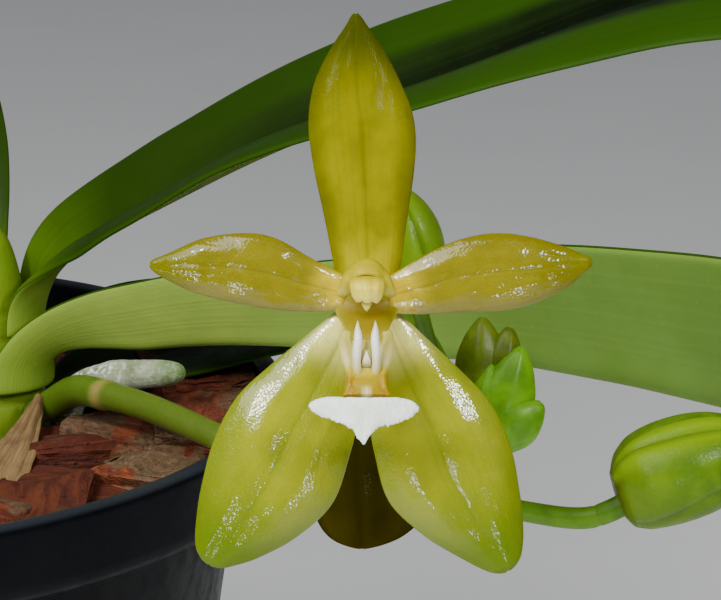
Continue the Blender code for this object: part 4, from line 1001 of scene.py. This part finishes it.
def bud_surface(name, near, main, top):
    """Waxy green skin with a brown foot, painted light along its upper side, painted shade on the opposite
    side, and darker seams where its sepals meet.
    """
    made = Surface(name, **lit_through(0.2, 1.5), Specular_IOR_Level=0.14, Coat_Weight=0.06,
                   Coat_Roughness=0.2)
    turn, length = made.along("X", "UV"), made.along("Y", "UV")
    seam = 1.0
    for start, end in BUD_SEAMS:
        line = made.add("Math", {0: length, 1: (end - start) / 360}, operation="MULTIPLY")
        line = made.add("Math", {0: line, 1: start / 360}, operation="ADD")
        seam = made.add("Math", {0: made.away(turn, line), 1: seam}, operation="MINIMUM")
    greens = ((0.0, "#4c3410"), (0.05, "#525408"), (0.14, near), (0.6, main), (1.0, near))
    made.base = made.add("ValToRGB", {0: length}, greens)
    # Painted light: the top colour laid along the upper side.
    made.paint(top, made.away(turn, 0.94), (0.02, 0.8), (0.1, 0.0))
    # Painted shade: a darker green on the opposite side.
    made.paint("#4a6206", made.away(turn, 0.55), (0.0, 0.8), (0.2, 0.0))
    made.paint("#3c5a00", seam, (0.0, 0.7), (0.008, 0.35), (0.03, 0.0))
    made.paint("#6c8c08", made.pattern(2.4), (0.4, 0.0), (0.8, 0.5))
    made.relief(made.pattern(0.3, cells=True), 0.03, 0.6)
    made.relief(made.pattern(0.9, 2.0), 0.05, 0.6)
    return made.done(made.clouds(0.5, (0.3, 0.3), (0.7, 0.46)))


BLOOM_CENTRE = (70.5, -92.0, 138.0)
BLOOM_TILT = math.radians(14.0)
TEPAL_THICKNESS = 0.65
TEPAL_CELLS = (34, 92)
# tepal shapes: (s, half width, shift to the side, depth, roll of the margins)
DORSAL_SEPAL = [
    (0.0, 2.6, 0.0, -1.9, 0.3), (0.2, 3.35, 0.1, -1.2, 0.7), (0.45, 4.3, 0.15, -0.5, 1.0),
    (0.6, 4.4, 0.05, -0.3, 1.1), (0.74, 3.6, -0.15, -0.5, 1.0), (0.87, 2.15, -0.1, -0.9, 0.6),
    (0.96, 0.8, 0.0, -1.1, 0.2), (0.99, 0.35, 0.0, -1.1, 0.1), (1.0, 0.05, 0.0, -1.1, 0.05),
]
LEFT_PETAL = [
    (0.0, 1.35, 0.0, -0.7, 0.2), (0.2, 2.25, 0.25, -0.1, 0.5), (0.4, 2.95, 0.75, 0.2, 0.8),
    (0.55, 2.9, 0.8, 0.2, 0.9), (0.75, 2.3, 0.5, -0.2, 0.8), (0.88, 1.35, 0.15, -0.6, 0.4),
    (0.96, 0.65, 0.0, -0.8, 0.2), (0.99, 0.3, 0.0, -0.9, 0.1), (1.0, 0.05, 0.0, -0.9, 0.05),
]
RIGHT_PETAL = [
    (0.0, 1.45, 0.0, -0.7, 0.2), (0.15, 2.25, -0.25, -0.1, 0.5), (0.35, 2.95, -0.6, 0.3, 0.8),
    (0.55, 3.25, -0.45, 0.3, 0.9), (0.73, 2.65, -0.2, 0.0, 0.9), (0.88, 1.6, 0.0, -0.5, 0.5),
    (0.96, 0.7, 0.0, -0.8, 0.2), (0.99, 0.35, 0.0, -0.9, 0.1), (1.0, 0.05, 0.0, -0.9, 0.05),
]
LEFT_SEPAL = [
    (0.0, 1.3, 0.0, -1.6, 0.2), (0.1, 2.45, -0.25, -1.25, 0.6), (0.27, 4.2, -0.45, -0.7, 1.3),
    (0.43, 5.35, -0.4, -0.3, 1.7), (0.6, 5.65, -0.75, -0.4, 1.7), (0.77, 4.5, -0.6, -0.8, 1.4),
    (0.9, 2.9, -0.2, -1.4, 0.9), (0.965, 1.75, 0.1, -1.8, 0.4), (0.99, 0.95, 0.1, -1.95, 0.2),
    (1.0, 0.08, 0.1, -2.0, 0.1),
]
RIGHT_SEPAL = [
    (0.0, 1.3, 0.0, -1.6, 0.2), (0.1, 2.45, 0.25, -1.25, 0.6), (0.27, 4.2, 0.45, -0.7, 1.3),
    (0.43, 5.35, 0.4, -0.3, 1.7), (0.6, 5.6, 0.7, -0.4, 1.7), (0.77, 4.3, 0.4, -0.8, 1.4),
    (0.9, 2.7, -0.05, -1.4, 0.9), (0.965, 1.65, -0.2, -1.8, 0.4), (0.99, 0.9, -0.2, -1.95, 0.2),
    (1.0, 0.08, -0.2, -2.0, 0.1),
]


def bloom_frame():
    """The matrix from the bloom's (u, v, n) to the plant's frame."""
    tilt, lean = math.cos(BLOOM_TILT), math.sin(BLOOM_TILT)
    columns = ((1, 0, 0), (0, lean, tilt), (0, -tilt, lean))
    turn = Matrix([[column[i] for column in columns] for i in range(3)]).to_4x4()
    return Matrix.Translation(BLOOM_CENTRE) @ turn


BLOOM = bloom_frame()


def make_tepal(node, slot, foot, heading, length, shape, pillow, material, seed):
    """pillow is how deep the two halves of the blade dip, in millimetres, towards its middle line."""
    angle = math.radians(heading)
    way = Vector((-math.sin(angle), math.cos(angle), 0.0))
    side = Vector((math.cos(angle), math.sin(angle), 0.0))

    def place(x, u):
        s = u - 0.7 / math.tau * math.sin(math.tau * u)
        half_width, shift, depth, roll = blend(shape, s)
        local = Vector((*foot, 0.0)) + way * (length * s) + side * (x * half_width + shift)
        ripple = 0.1 * grain((x * 3.0, s * 9.0 + seed, seed), 1.0, 2) * min(s * 5.0, 1.0, (1.0 - s) * 5.0)
        off = x * half_width
        midrib = -0.13 * hump(off, 0.26) - pillow * hump(off, 1.7)
        midrib *= math.sin(math.pi * min(s + 0.02, 1.0))
        ridges = 0.02 * math.cos(x * half_width * 5.0) * math.sin(math.pi * s)
        local.z = depth - roll * x * x + ripple + midrib + ridges
        return BLOOM @ local

    piece = mesh_object(node + "_fine", blade(*TEPAL_CELLS, place), material)
    place_piece(thicken(piece, TEPAL_THICKNESS, 0.45), slot, node)


def in_bloom(obj):
    """Takes a piece made in the bloom's millimetres to its place on the plant."""
    obj.data.transform(Matrix.Scale(MM, 4) @ BLOOM)
    return obj


def bloom_piece(name, bm, material, slot, *nodes):
    """A closed skin made in the bloom's millimetres and placed on the plant."""
    place_piece(in_bloom(mesh_object(name, bm, material, scale=1.0)), slot, *nodes)


def melted(name, solids, voxel, passes, pocket=None):
    """Solids of the bloom run together into one skin, with a pocket cut from it and its joins smoothed."""
    bm = bmesh.new()
    for solid in solids:
        holder = bpy.data.meshes.new("holder")
        solid.to_mesh(holder)
        solid.free()
        bm.from_mesh(holder)
        bpy.data.meshes.remove(holder)
    obj = mesh_object(name, bm, scale=1.0)
    if pocket is not None:
        modify(obj, "REMESH", mode="VOXEL", voxel_size=voxel)
        applied(obj)
        cutter = mesh_object(name + "_cut", pocket, scale=1.0)
        modify(obj, "BOOLEAN", operation="DIFFERENCE", object=cutter)
        applied(obj)
        bpy.data.objects.remove(cutter)
    modify(obj, "REMESH", mode="VOXEL", voxel_size=voxel)
    applied(obj)
    modify(obj, "SMOOTH", factor=0.6, iterations=passes)
    applied(obj)
    obj.data.shade_smooth()
    return obj


def bloom_level(made, low, high):
    """Where a point lies between two heights v of the bloom, from 0 to 1."""
    tilt = (0.0, math.sin(BLOOM_TILT), math.cos(BLOOM_TILT))
    place = made.coordinates["Object"]
    up = made.add("VectorMath", {0: place, 1: tilt}, out="Value", operation="DOT_PRODUCT")
    centre = sum(a * b * MM for a, b in zip(BLOOM_CENTRE, tilt))
    return made.add("MapRange", {0: up, 1: centre + low * MM, 2: centre + high * MM})


def column_surface():
    """Waxy golden tissue, cream behind the cap's wings and deeper gold in the cup below, with painted light
    on the hood's underside.
    """
    made = Surface("column", **lit_through(0.3, 1.2), Specular_IOR_Level=0.15)
    # The golds between levels 0.15 and 0.5 are lightened: painted light on the downward-facing underside of
    # the hood.
    golds = ((0.0, "#9c8c10"), (0.15, "#7c6800"), (0.5, "#8a7600"), (0.57, "#a8a040"), (0.64, "#a09420"),
             (0.75, "#a49600"), (1.0, "#a09400"))
    made.base = made.add("ValToRGB", {0: bloom_level(made, -3.4, 3.6)}, golds)
    made.paint("#8c8010", made.pattern(1.1), (0.4, 0.0), (0.75, 0.25))
    made.relief(made.pattern(0.16, cells=True), 0.012, 0.6)
    made.relief(made.pattern(0.4, 2.0), 0.02, 0.5)
    return made.done(made.clouds(0.3, (0.3, 0.36), (0.7, 0.5)))


def make_column():
    """The column: a smooth hood over a cream anther cap, pale wings, and the deep golden cup below."""
    gold = column_surface()
    # (height v, level n, half width, half depth)
    rings = [(0.75, 0.1, 1.2, 0.95), (1.2, 1.0, 1.6, 1.4), (1.62, 2.0, 1.75, 1.82), (1.76, 2.9, 1.72, 1.76),
             (1.82, 3.6, 1.5, 1.5), (1.85, 4.1, 1.05, 0.95), (1.8, 4.35, 0.5, 0.45)]
    solids = [
        sweep([Vector((0.0, v, n)) for v, n, _, _ in rings], [(w, h) for _, _, w, h in rings], 40, BLOOM_UP),
        sweep([Vector((0.0, 0.55, n)) for n in (-3.2, -1.0, 0.6)], [(1.0, 0.85)] * 3, 32, BLOOM_UP),
    ]
    wing = ((0.9, 2.5, 2.6), (1.4, 1.8, 2.9), (1.75, 0.95, 3.0), (2.2, 0.2, 2.8))
    girth = [(0.0, 0.5, 0.7), (0.35, 0.62, 0.75), (0.7, 0.62, 0.5), (0.93, 0.5, 0.28), (1.0, 0.3, 0.14)]
    for side in (-1, 1):
        solids.append(tube([(side * u, v, n) for u, v, n in wing], girth, 24, 24))
    column = melted("column_fine", solids, 0.11, 8, ellipsoid((0.0, 0.75, 4.25), (1.45, 1.3, 1.2)))
    column.data.materials.append(gold)
    place_piece(in_bloom(column), "column", "column")
    make_column_foot()
    cream = Surface("anther", **lit_through(0.3, 1.2), Specular_IOR_Level=0.3)
    creams = ((0.0, "#d0c458"), (0.6, "#c8b828"), (1.0, "#a09008"))
    cream.base = cream.add("ValToRGB", {0: bloom_level(cream, -0.2, 2.0)}, creams)
    cream.relief(cream.pattern(0.25, 2.0), 0.02, 0.5)
    pale = cream.done(0.34)
    make_anther_cap(pale)
    beak = sweep([Vector((0.0, v, n)) for v, n in ((0.0, 3.6), (-0.35, 3.75), (-0.65, 3.7), (-0.9, 3.55))],
                 [(0.5, 0.3), (0.42, 0.24), (0.26, 0.18), (0.08, 0.06)], 24)
    bloom_piece("beak", beak, pale, "anther")
    return gold


def make_column_foot():
    """The golden trough below the column, from the petals' feet down to the lip."""
    made = Surface("column_foot", **lit_through(0.3, 1.2), Specular_IOR_Level=0.25)
    side, length = made.side_and_length()
    golds = ((0.0, "#7e7000"), (0.5, "#826e00"), (0.85, "#847200"), (1.0, "#8c7e10"))
    made.base = made.add("ValToRGB", {0: length}, golds)
    made.paint("#8c8410", side, (0.45, 0.0), (0.95, 1.0))
    made.relief(made.pattern(0.4, 2.0), 0.02, 0.5)
    material = made.done(0.5)
    # (s, height v, level n, half width, rise of its sides)
    stops = [(0.0, 1.2, 0.2, 1.3, -0.4), (0.2, 0.4, -0.2, 1.9, -0.6), (0.42, -0.3, -0.5, 2.4, -0.5),
             (0.62, -1.2, -0.4, 2.6, 0.1), (0.82, -2.3, 0.35, 2.0, 0.4), (1.0, -3.5, 1.5, 1.4, 0.2)]

    def place(x, s):
        height, level, half_width, rise = blend(stops, s)
        return Vector((x * half_width, height + 0.25 * x * x, level + rise * x * x))

    sheet = in_bloom(mesh_object("column_foot", blade(28, 40, place), material, scale=1.0))
    place_piece(thicken(sheet, 0.5, 0.3), "column")


def make_anther_cap(material):
    """A shallow cap, a little wider below, grooved down its front and scalloped along its lower edge."""

    def place(x, s):
        height = 1.9 - 2.0 * s
        half_width = blend([(0.0, 0.9), (0.12, 1.25), (0.35, 1.32), (0.7, 1.18), (0.9, 1.06), (1.0, 0.9)], s)
        scallop = 0.1 * math.cos(x * 8.2) * s**5 + 0.05 * x * s**4 - 0.25 * abs(x) ** 6 * s**3
        front = blend([(0.0, 4.0), (0.15, 4.5), (0.5, 4.9), (0.85, 4.8), (1.0, 4.55)], s)
        grooves = 0.055 * math.cos(x * 9.5) * math.sin(math.pi * min(s + 0.08, 1.0))
        return Vector((x * half_width + 0.04, height - scallop, front - 0.7 * x * x + grooves))

    cap = mesh_object("anther_cap_fine", blade(32, 28, place), material, scale=1.0)
    place_piece(in_bloom(thicken(cap, 0.4, scale=1.0)), "anther", "anther_cap")


def claw_surface():
    """The claw's golden skin: orange streaks down its flanks, a pale keel, and cream towards its teeth."""
    gold = Surface("lip_claw", **lit_through(0.3, 1.0), Specular_IOR_Level=0.12, Coat_Weight=0.12,
                   Coat_Roughness=0.12)
    level = bloom_level(gold, -8.0, -3.0)
    off = gold.away(gold.along("X"), BLOOM_CENTRE[0] * MM)
    off = gold.add("Math", {0: off, 1: 1.9 * MM}, operation="DIVIDE")
    golds = ((0.0, "#8e7600"), (0.3, "#968200"), (0.42, "#b0a020"), (0.58, "#ccc480"), (1.0, "#b8ae50"))
    gold.base = gold.add("ValToRGB", {0: level}, golds)
    flank = gold.add("ValToRGB", {0: off}, ((0.35, 0.0), (0.6, 1.0)))
    front = gold.add("ValToRGB", {0: level}, ((0.0, 1.0), (0.36, 0.9), (0.46, 0.0)))
    streaks = gold.add("Math", {0: flank, 1: front}, operation="MULTIPLY")
    broken = gold.pattern(0.5, 2.0, stretch=(1.0, 1.0, 0.3))
    gold.paint("#8c6400", broken, (0.35, 0.18), (0.6, 0.6), share=streaks)
    tip = gold.add("ValToRGB", {0: level}, ((0.0, 1.0), (0.1, 0.9), (0.24, 0.0)))
    gold.paint("#cfc48c", off, (0.0, 1.0), (0.12, 0.6), (0.3, 0.0), share=tip)
    gold.relief(gold.pattern(0.2, 2.0), 0.03, 0.8)
    gold.relief(gold.pattern(0.6, 2.0, stretch=(1.0, 1.0, 0.3)), 0.1, 0.8)
    return gold.done(0.32)


def make_claw():
    """The lip's claw, a widening tongue with a low callus between two upright walls."""
    tongue = [(0.0, -3.45, 1.65), (0.0, -4.4, 2.1), (0.0, -5.6, 3.0), (0.0, -6.8, 3.9), (0.0, -7.9, 4.6)]
    girth = [(0.0, 1.0, 0.5), (0.25, 1.15, 0.45), (0.5, 1.2, 0.42), (0.75, 1.5, 0.38), (1.0, 1.95, 0.32)]
    claw = tube(tongue, girth, 40, 40, UP, lambda s, angle: 1.0 + 0.06 * math.cos(angle * 2.0) * s)
    solids = [claw, ellipsoid((0.0, -4.9, 3.0), (0.62, 1.0, 0.55))]
    wall = ((1.7, -2.7, 1.1), (1.75, -3.8, 1.7), (1.55, -5.0, 2.4), (1.38, -6.2, 3.2), (1.52, -7.2, 3.95),
            (1.78, -7.9, 4.3))
    girth = [(0.0, 0.5, 0.4), (0.25, 0.56, 0.45), (0.55, 0.38, 0.5), (0.8, 0.3, 0.62), (1.0, 0.2, 0.35)]
    for side in (-1, 1):
        solids.append(tube([(side * u, v, n) for u, v, n in wall], girth, 20, 30))
    body = melted("lip_fine", solids, 0.09, 5)
    body.data.materials.append(claw_surface())
    place_piece(in_bloom(body), "lip_claw", "lip")


def make_lip():
    """The lip: a golden claw streaked with orange, two white pointed teeth, a small callus, and the
    white papillose blade in front with its pointed tip."""
    make_claw()
    white = Surface("lip_blade", Subsurface_Weight=0.4, Subsurface_Scale=1.2 * MM)
    white.base = white.clouds(1.6, (0.3, "#dde6d4"), (0.7, "#f4f9ee"))
    white.relief(white.pattern(0.16, cells=True), 0.05, 0.8)
    white.relief(white.pattern(0.12, 2.0), 0.03, 0.7)
    white_skin = white.done(0.5)
    ivory = Surface("lip_tooth", Subsurface_Weight=0.4, Subsurface_Scale=1.2 * MM)
    ivories = ((0.0, "#c8ba60"), (0.2, "#cfc898"), (0.45, "#dcdacb"), (0.7, "#e2e2d8"), (1.0, "#d4cea0"))
    ivory.base = ivory.add("ValToRGB", {0: bloom_level(ivory, -6.2, -1.8)}, ivories)
    ivory.relief(ivory.pattern(0.2, 2.0), 0.015, 0.5)
    tooth_skin = ivory.done(0.3)
    bends = ((0.72, -6.1, 3.3), (0.8, -5.2, 3.65), (0.78, -4.2, 3.75), (0.7, -3.2, 3.65), (0.74, -2.3, 3.4),
             (0.72, -1.72, 3.2))
    girth = [(0.0, 0.38, 0.5), (0.25, 0.35, 0.52), (0.5, 0.36, 0.46), (0.75, 0.32, 0.4), (0.92, 0.14, 0.2),
             (1.0, 0.03, 0.04)]
    for k, side in enumerate((-1, 1)):
        tooth = tube([(side * u, v, n) for u, v, n in bends], girth, 28, 44)
        bloom_piece(f"lip_tooth_{k}", tooth, tooth_skin, "lip_blade")
    callus = sweep([Vector((0.0, v, n)) for v, n in ((-5.4, 3.5), (-5.0, 3.75), (-4.6, 3.75), (-4.2, 3.6))],
                   [(0.42, 0.2), (0.34, 0.24), (0.18, 0.18), (0.04, 0.05)], 24)
    bloom_piece("lip_callus", callus, tooth_skin, "lip_blade")
    make_midlobe(white_skin)


# (u, upper edge v, lower edge v, half thickness) from the left end to the right one
MIDLOBE = [
    (-4.75, -8.6, -8.8, 0.1), (-4.5, -8.36, -9.1, 0.24), (-4.0, -8.12, -9.42, 0.34),
    (-3.3, -7.98, -9.72, 0.38), (-2.4, -7.93, -10.0, 0.4), (-1.8, -7.96, -10.25, 0.42),
    (-1.35, -7.98, -10.48, 0.42), (-1.05, -7.99, -10.8, 0.4), (-0.78, -8.0, -11.25, 0.36),
    (-0.5, -8.0, -11.62, 0.3), (-0.28, -8.0, -11.78, 0.26), (-0.05, -8.0, -11.6, 0.3),
    (0.25, -8.0, -11.15, 0.36), (0.6, -7.99, -10.72, 0.4), (1.0, -7.98, -10.46, 0.42),
    (1.8, -7.98, -10.28, 0.41), (2.7, -8.02, -10.05, 0.39), (3.4, -8.18, -9.75, 0.35),
    (3.95, -8.48, -9.4, 0.25), (4.25, -8.82, -9.1, 0.1),
]
MIDLOBE_PLACES = 200


def make_midlobe(material):
    """The lip's white blade: broad and ragged, thick in its middle, with a point that hangs forward."""
    left, right = MIDLOBE[0][0], MIDLOBE[-1][0]
    places = []
    sizes = []
    for i in range(MIDLOBE_PLACES):
        share = i / (MIDLOBE_PLACES - 1)
        u = left + (right - left) * (0.25 - 0.25 * math.cos(math.pi * share) + 0.5 * share)
        top, low, thick = blend(MIDLOBE, u)
        ragged = 0.16 * wobble(u * 3.1, 3.0) + 0.09 * wobble(u * 9.0, 7.0)
        places.append(Vector((u, (top + low + ragged) / 2, 5.35 - 0.035 * u * u)))
        sizes.append((thick * 0.85, (top - low - ragged) / 2))

    def squarer(s, angle):
        return 1.0 / (abs(math.cos(angle)) ** 2.6 + abs(math.sin(angle)) ** 2.6) ** (1 / 2.6)

    bm = sweep(places, sizes, 72, BLOOM_UP, squarer, Vector((1.0, 0.0, 0.0)))
    bm.normal_update()
    for vertex in bm.verts:
        rough = grain(vertex.co, 0.3, 3) * 0.035 + grain(vertex.co, 1.3, 2) * 0.05
        droop = 0.12 * (-8.0 - vertex.co.y)
        vertex.co += vertex.normal * rough
        vertex.co.z += droop
    bloom_piece("lip_midlobe_fine", bm, material, "lip_blade", "lip_midlobe")


def make_bloom():
    """The open flower: olive dorsal sepal with painted shade towards its tip, golden petals, larger lateral
    sepals whose cream-yellow foot is partly painted highlight.
    """
    # The dorsal sepal's dark tip colour is painted shade.
    dorsal = tepal_surface("dorsal_sepal", "#a89e00", "#7e7a00", "#3c4000", "#363c00", "#4e5000", 0.4, 0.02)
    # The lateral sepals' cream foot is partly their own paler base and partly painted highlight.
    lateral = tepal_surface("lateral_sepal", "#fff68a", "#888c00", "#5a6a00", "#526800", "#5a6800", 0.35)
    petal = tepal_surface("petal", "#d6bc10", "#766e00", "#5e5800", "#626200", "#565000", 0.5)
    make_tepal("dorsal_sepal", "sepal", (0.1, 1.75), 2.6, 22.2, DORSAL_SEPAL, 0.1, dorsal, 1.0)
    make_tepal("petal_left", "petal", (-1.75, 0.55), 81.5, 16.5, LEFT_PETAL, 0.3, petal, 2.0)
    make_tepal("petal_right", "petal", (1.85, 0.35), -80.5, 17.2, RIGHT_PETAL, 0.3, petal, 3.0)
    make_tepal("lateral_sepal_left", "sepal", (-1.52, -1.65), 150.6, 23.6, LEFT_SEPAL, 0.5, lateral, 4.0)
    make_tepal("lateral_sepal_right", "sepal", (1.62, -1.65), 205.4, 23.4, RIGHT_SEPAL, 0.5, lateral, 5.0)
    gold = make_column()
    make_lip()
    make_young_bloom(gold)


YOUNG_BASE = (71.0, -73.0, 129.4)
YOUNG_TIP = (71.6, -76.0, 111.9)
YOUNG_CELLS = (22, 40)
BELL_WIDTH = [(0.0, 0.3), (0.2, 0.75), (0.6, 1.0), (0.85, 0.95), (0.94, 0.6), (0.98, 0.3), (1.0, 0.02)]
BELL_SWELL = [(0.0, 2.45), (0.2, 4.6), (0.55, 5.9), (0.8, 5.6), (1.0, 4.9)]


def make_young_bloom(gold):
    """The half-open, nodding flower behind: sepals and petals in a bell round its column, darkened to
    brown-olive by painted shade, the front sepal most.
    """
    base, tip = Vector(YOUNG_BASE), Vector(YOUNG_TIP)
    axis = (tip - base).normalized()
    length = (tip - base).length
    forward = Vector((0.0, -1.0, 0.0))
    forward = (forward - axis * forward.dot(axis)).normalized()
    side = axis.cross(forward)
    # All of the young bloom's colours are darkened as painted shade: the front sepal most, its side sepals
    # and petals less.
    sepal = tepal_surface("young_sepal", "#2c3000", "#262200", "#201c00", "#363000", "#181600", 0.6, 0.02)
    flank = tepal_surface("young_flank", "#5c6400", "#525a00", "#444c00", "#666c00", "#363c00", 0.6, 0.02)
    petal = tepal_surface("young_petal", "#585800", "#4a4600", "#403c00", "#565000", "#302e00", 0.6, 0.02)

    def bell(name, slot, turn, half_width, inset, start, reach, material):
        angle = math.radians(turn)
        out = forward * math.cos(angle) + side * math.sin(angle)
        across = axis.cross(out)

        def place(x, u):
            s = start + (1.0 - start) * (u - 0.6 / math.tau * math.sin(math.tau * u))
            width = half_width * blend(BELL_WIDTH, s)
            swell = blend(BELL_SWELL, s) - inset
            wrap = x * width / max(swell, 1.0)
            groove = -0.15 * hump(x * width, 0.35) * math.sin(math.pi * u)
            radial = out * math.cos(wrap) + across * math.sin(wrap)
            return base + axis * (length * reach * s) + radial * (swell + groove)

        piece = mesh_object(name + "_fine", blade(*YOUNG_CELLS, place), material)
        place_piece(thicken(piece, 0.6, 0.5), slot, name)

    bell("young_sepal_front", "sepal", 17, 6.5, 0.0, 0.0, 1.0, sepal)
    bell("young_sepal_left", "sepal", 114, 5.4, 0.0, 0.0, 0.85, flank)
    bell("young_sepal_right", "sepal", 246, 5.1, 0.0, 0.0, 0.96, flank)
    bell("young_petal_left", "petal", 69, 3.2, 1.4, 0.15, 0.78, petal)
    bell("young_petal_right", "petal", -54, 3.2, 1.4, 0.15, 0.78, petal)
    spots = [tuple(base + axis * reach) for reach in (-0.2, 1.5, 5.0, 8.5, 10.0)]
    heart = tube(spots, [(0.0, 1.75), (0.5, 1.65), (0.85, 1.35), (1.0, 0.5)], 36, 40, forward)
    solid_piece("young_column_fine", heart, gold, "column", "young_column")


CAMERA_AIM = (70.0, -92.0, 138.0)
CAMERA_TILT = math.radians(14.0)
CAMERA_DISTANCE = 320.0


def make_camera():
    data = bpy.data.cameras.new("camera")
    data.lens = 191.7
    data.sensor_width = 36.0
    data.clip_start = 0.01
    data.clip_end = 50.0
    camera = bpy.data.objects.new("camera", data)
    back = Vector((0.0, -math.cos(CAMERA_TILT), math.sin(CAMERA_TILT)))
    camera.location = (Vector(CAMERA_AIM) + back * CAMERA_DISTANCE) * MM
    camera.rotation_euler = (math.radians(90.0) - CAMERA_TILT, 0.0, 0.0)
    bpy.context.scene.collection.objects.link(camera)
    bpy.context.scene.camera = camera


def area_light(name, spot, target, size, power):
    data = bpy.data.lights.new(name, "AREA")
    data.shape = "RECTANGLE"
    data.size, data.size_y = (side * MM for side in size)
    data.energy = power
    light = bpy.data.objects.new(name, data)
    light.location = Vector(spot) * MM
    light.rotation_euler = (Vector(target) - Vector(spot)).to_track_quat("-Z", "Y").to_euler()
    bpy.context.scene.collection.objects.link(light)


def make_stage():
    """A pale floor, a dim studio, and two flashes with their fills beside one large softbox."""
    make_camera()
    bm = bmesh.new()
    bmesh.ops.create_grid(bm, x_segments=1, y_segments=1, size=4000.0)
    floor = Surface("floor")
    floor.base = floor.clouds(60.0, (0.3, "#f4f4f2"), (0.7, "#f7f7f5"), detail=2.0)
    mesh_object("floor", bm, floor.done(0.85))
    world = bpy.data.worlds.new("studio")
    world.use_nodes = True
    world.node_tree.nodes["Background"].inputs[0].default_value = colour("#e8ecf2")
    world.node_tree.nodes["Background"].inputs[1].default_value = 0.22
    bpy.context.scene.world = world
    area_light("flash_left", (-85.0, -261.0, 300.0), BLOOM_CENTRE, (38.0, 56.0), 0.62)
    area_light("flash_right", (225.0, -261.0, 300.0), BLOOM_CENTRE, (38.0, 56.0), 0.57)
    area_light("fill_left", (-28.0, -370.0, 84.0), BLOOM_CENTRE, (20.0, 30.0), 0.1)
    area_light("fill_right", (168.0, -370.0, 84.0), BLOOM_CENTRE, (20.0, 30.0), 0.1)
    area_light("softbox", (-250.0, -350.0, 620.0), (60.0, 0.0, 90.0), (500.0, 500.0), 5.0)


make_stage()
make_leaves()
make_stem()
make_pot()
make_bark()
make_roots()
make_dried_sheath()
make_spike()
make_buds()
make_bloom()
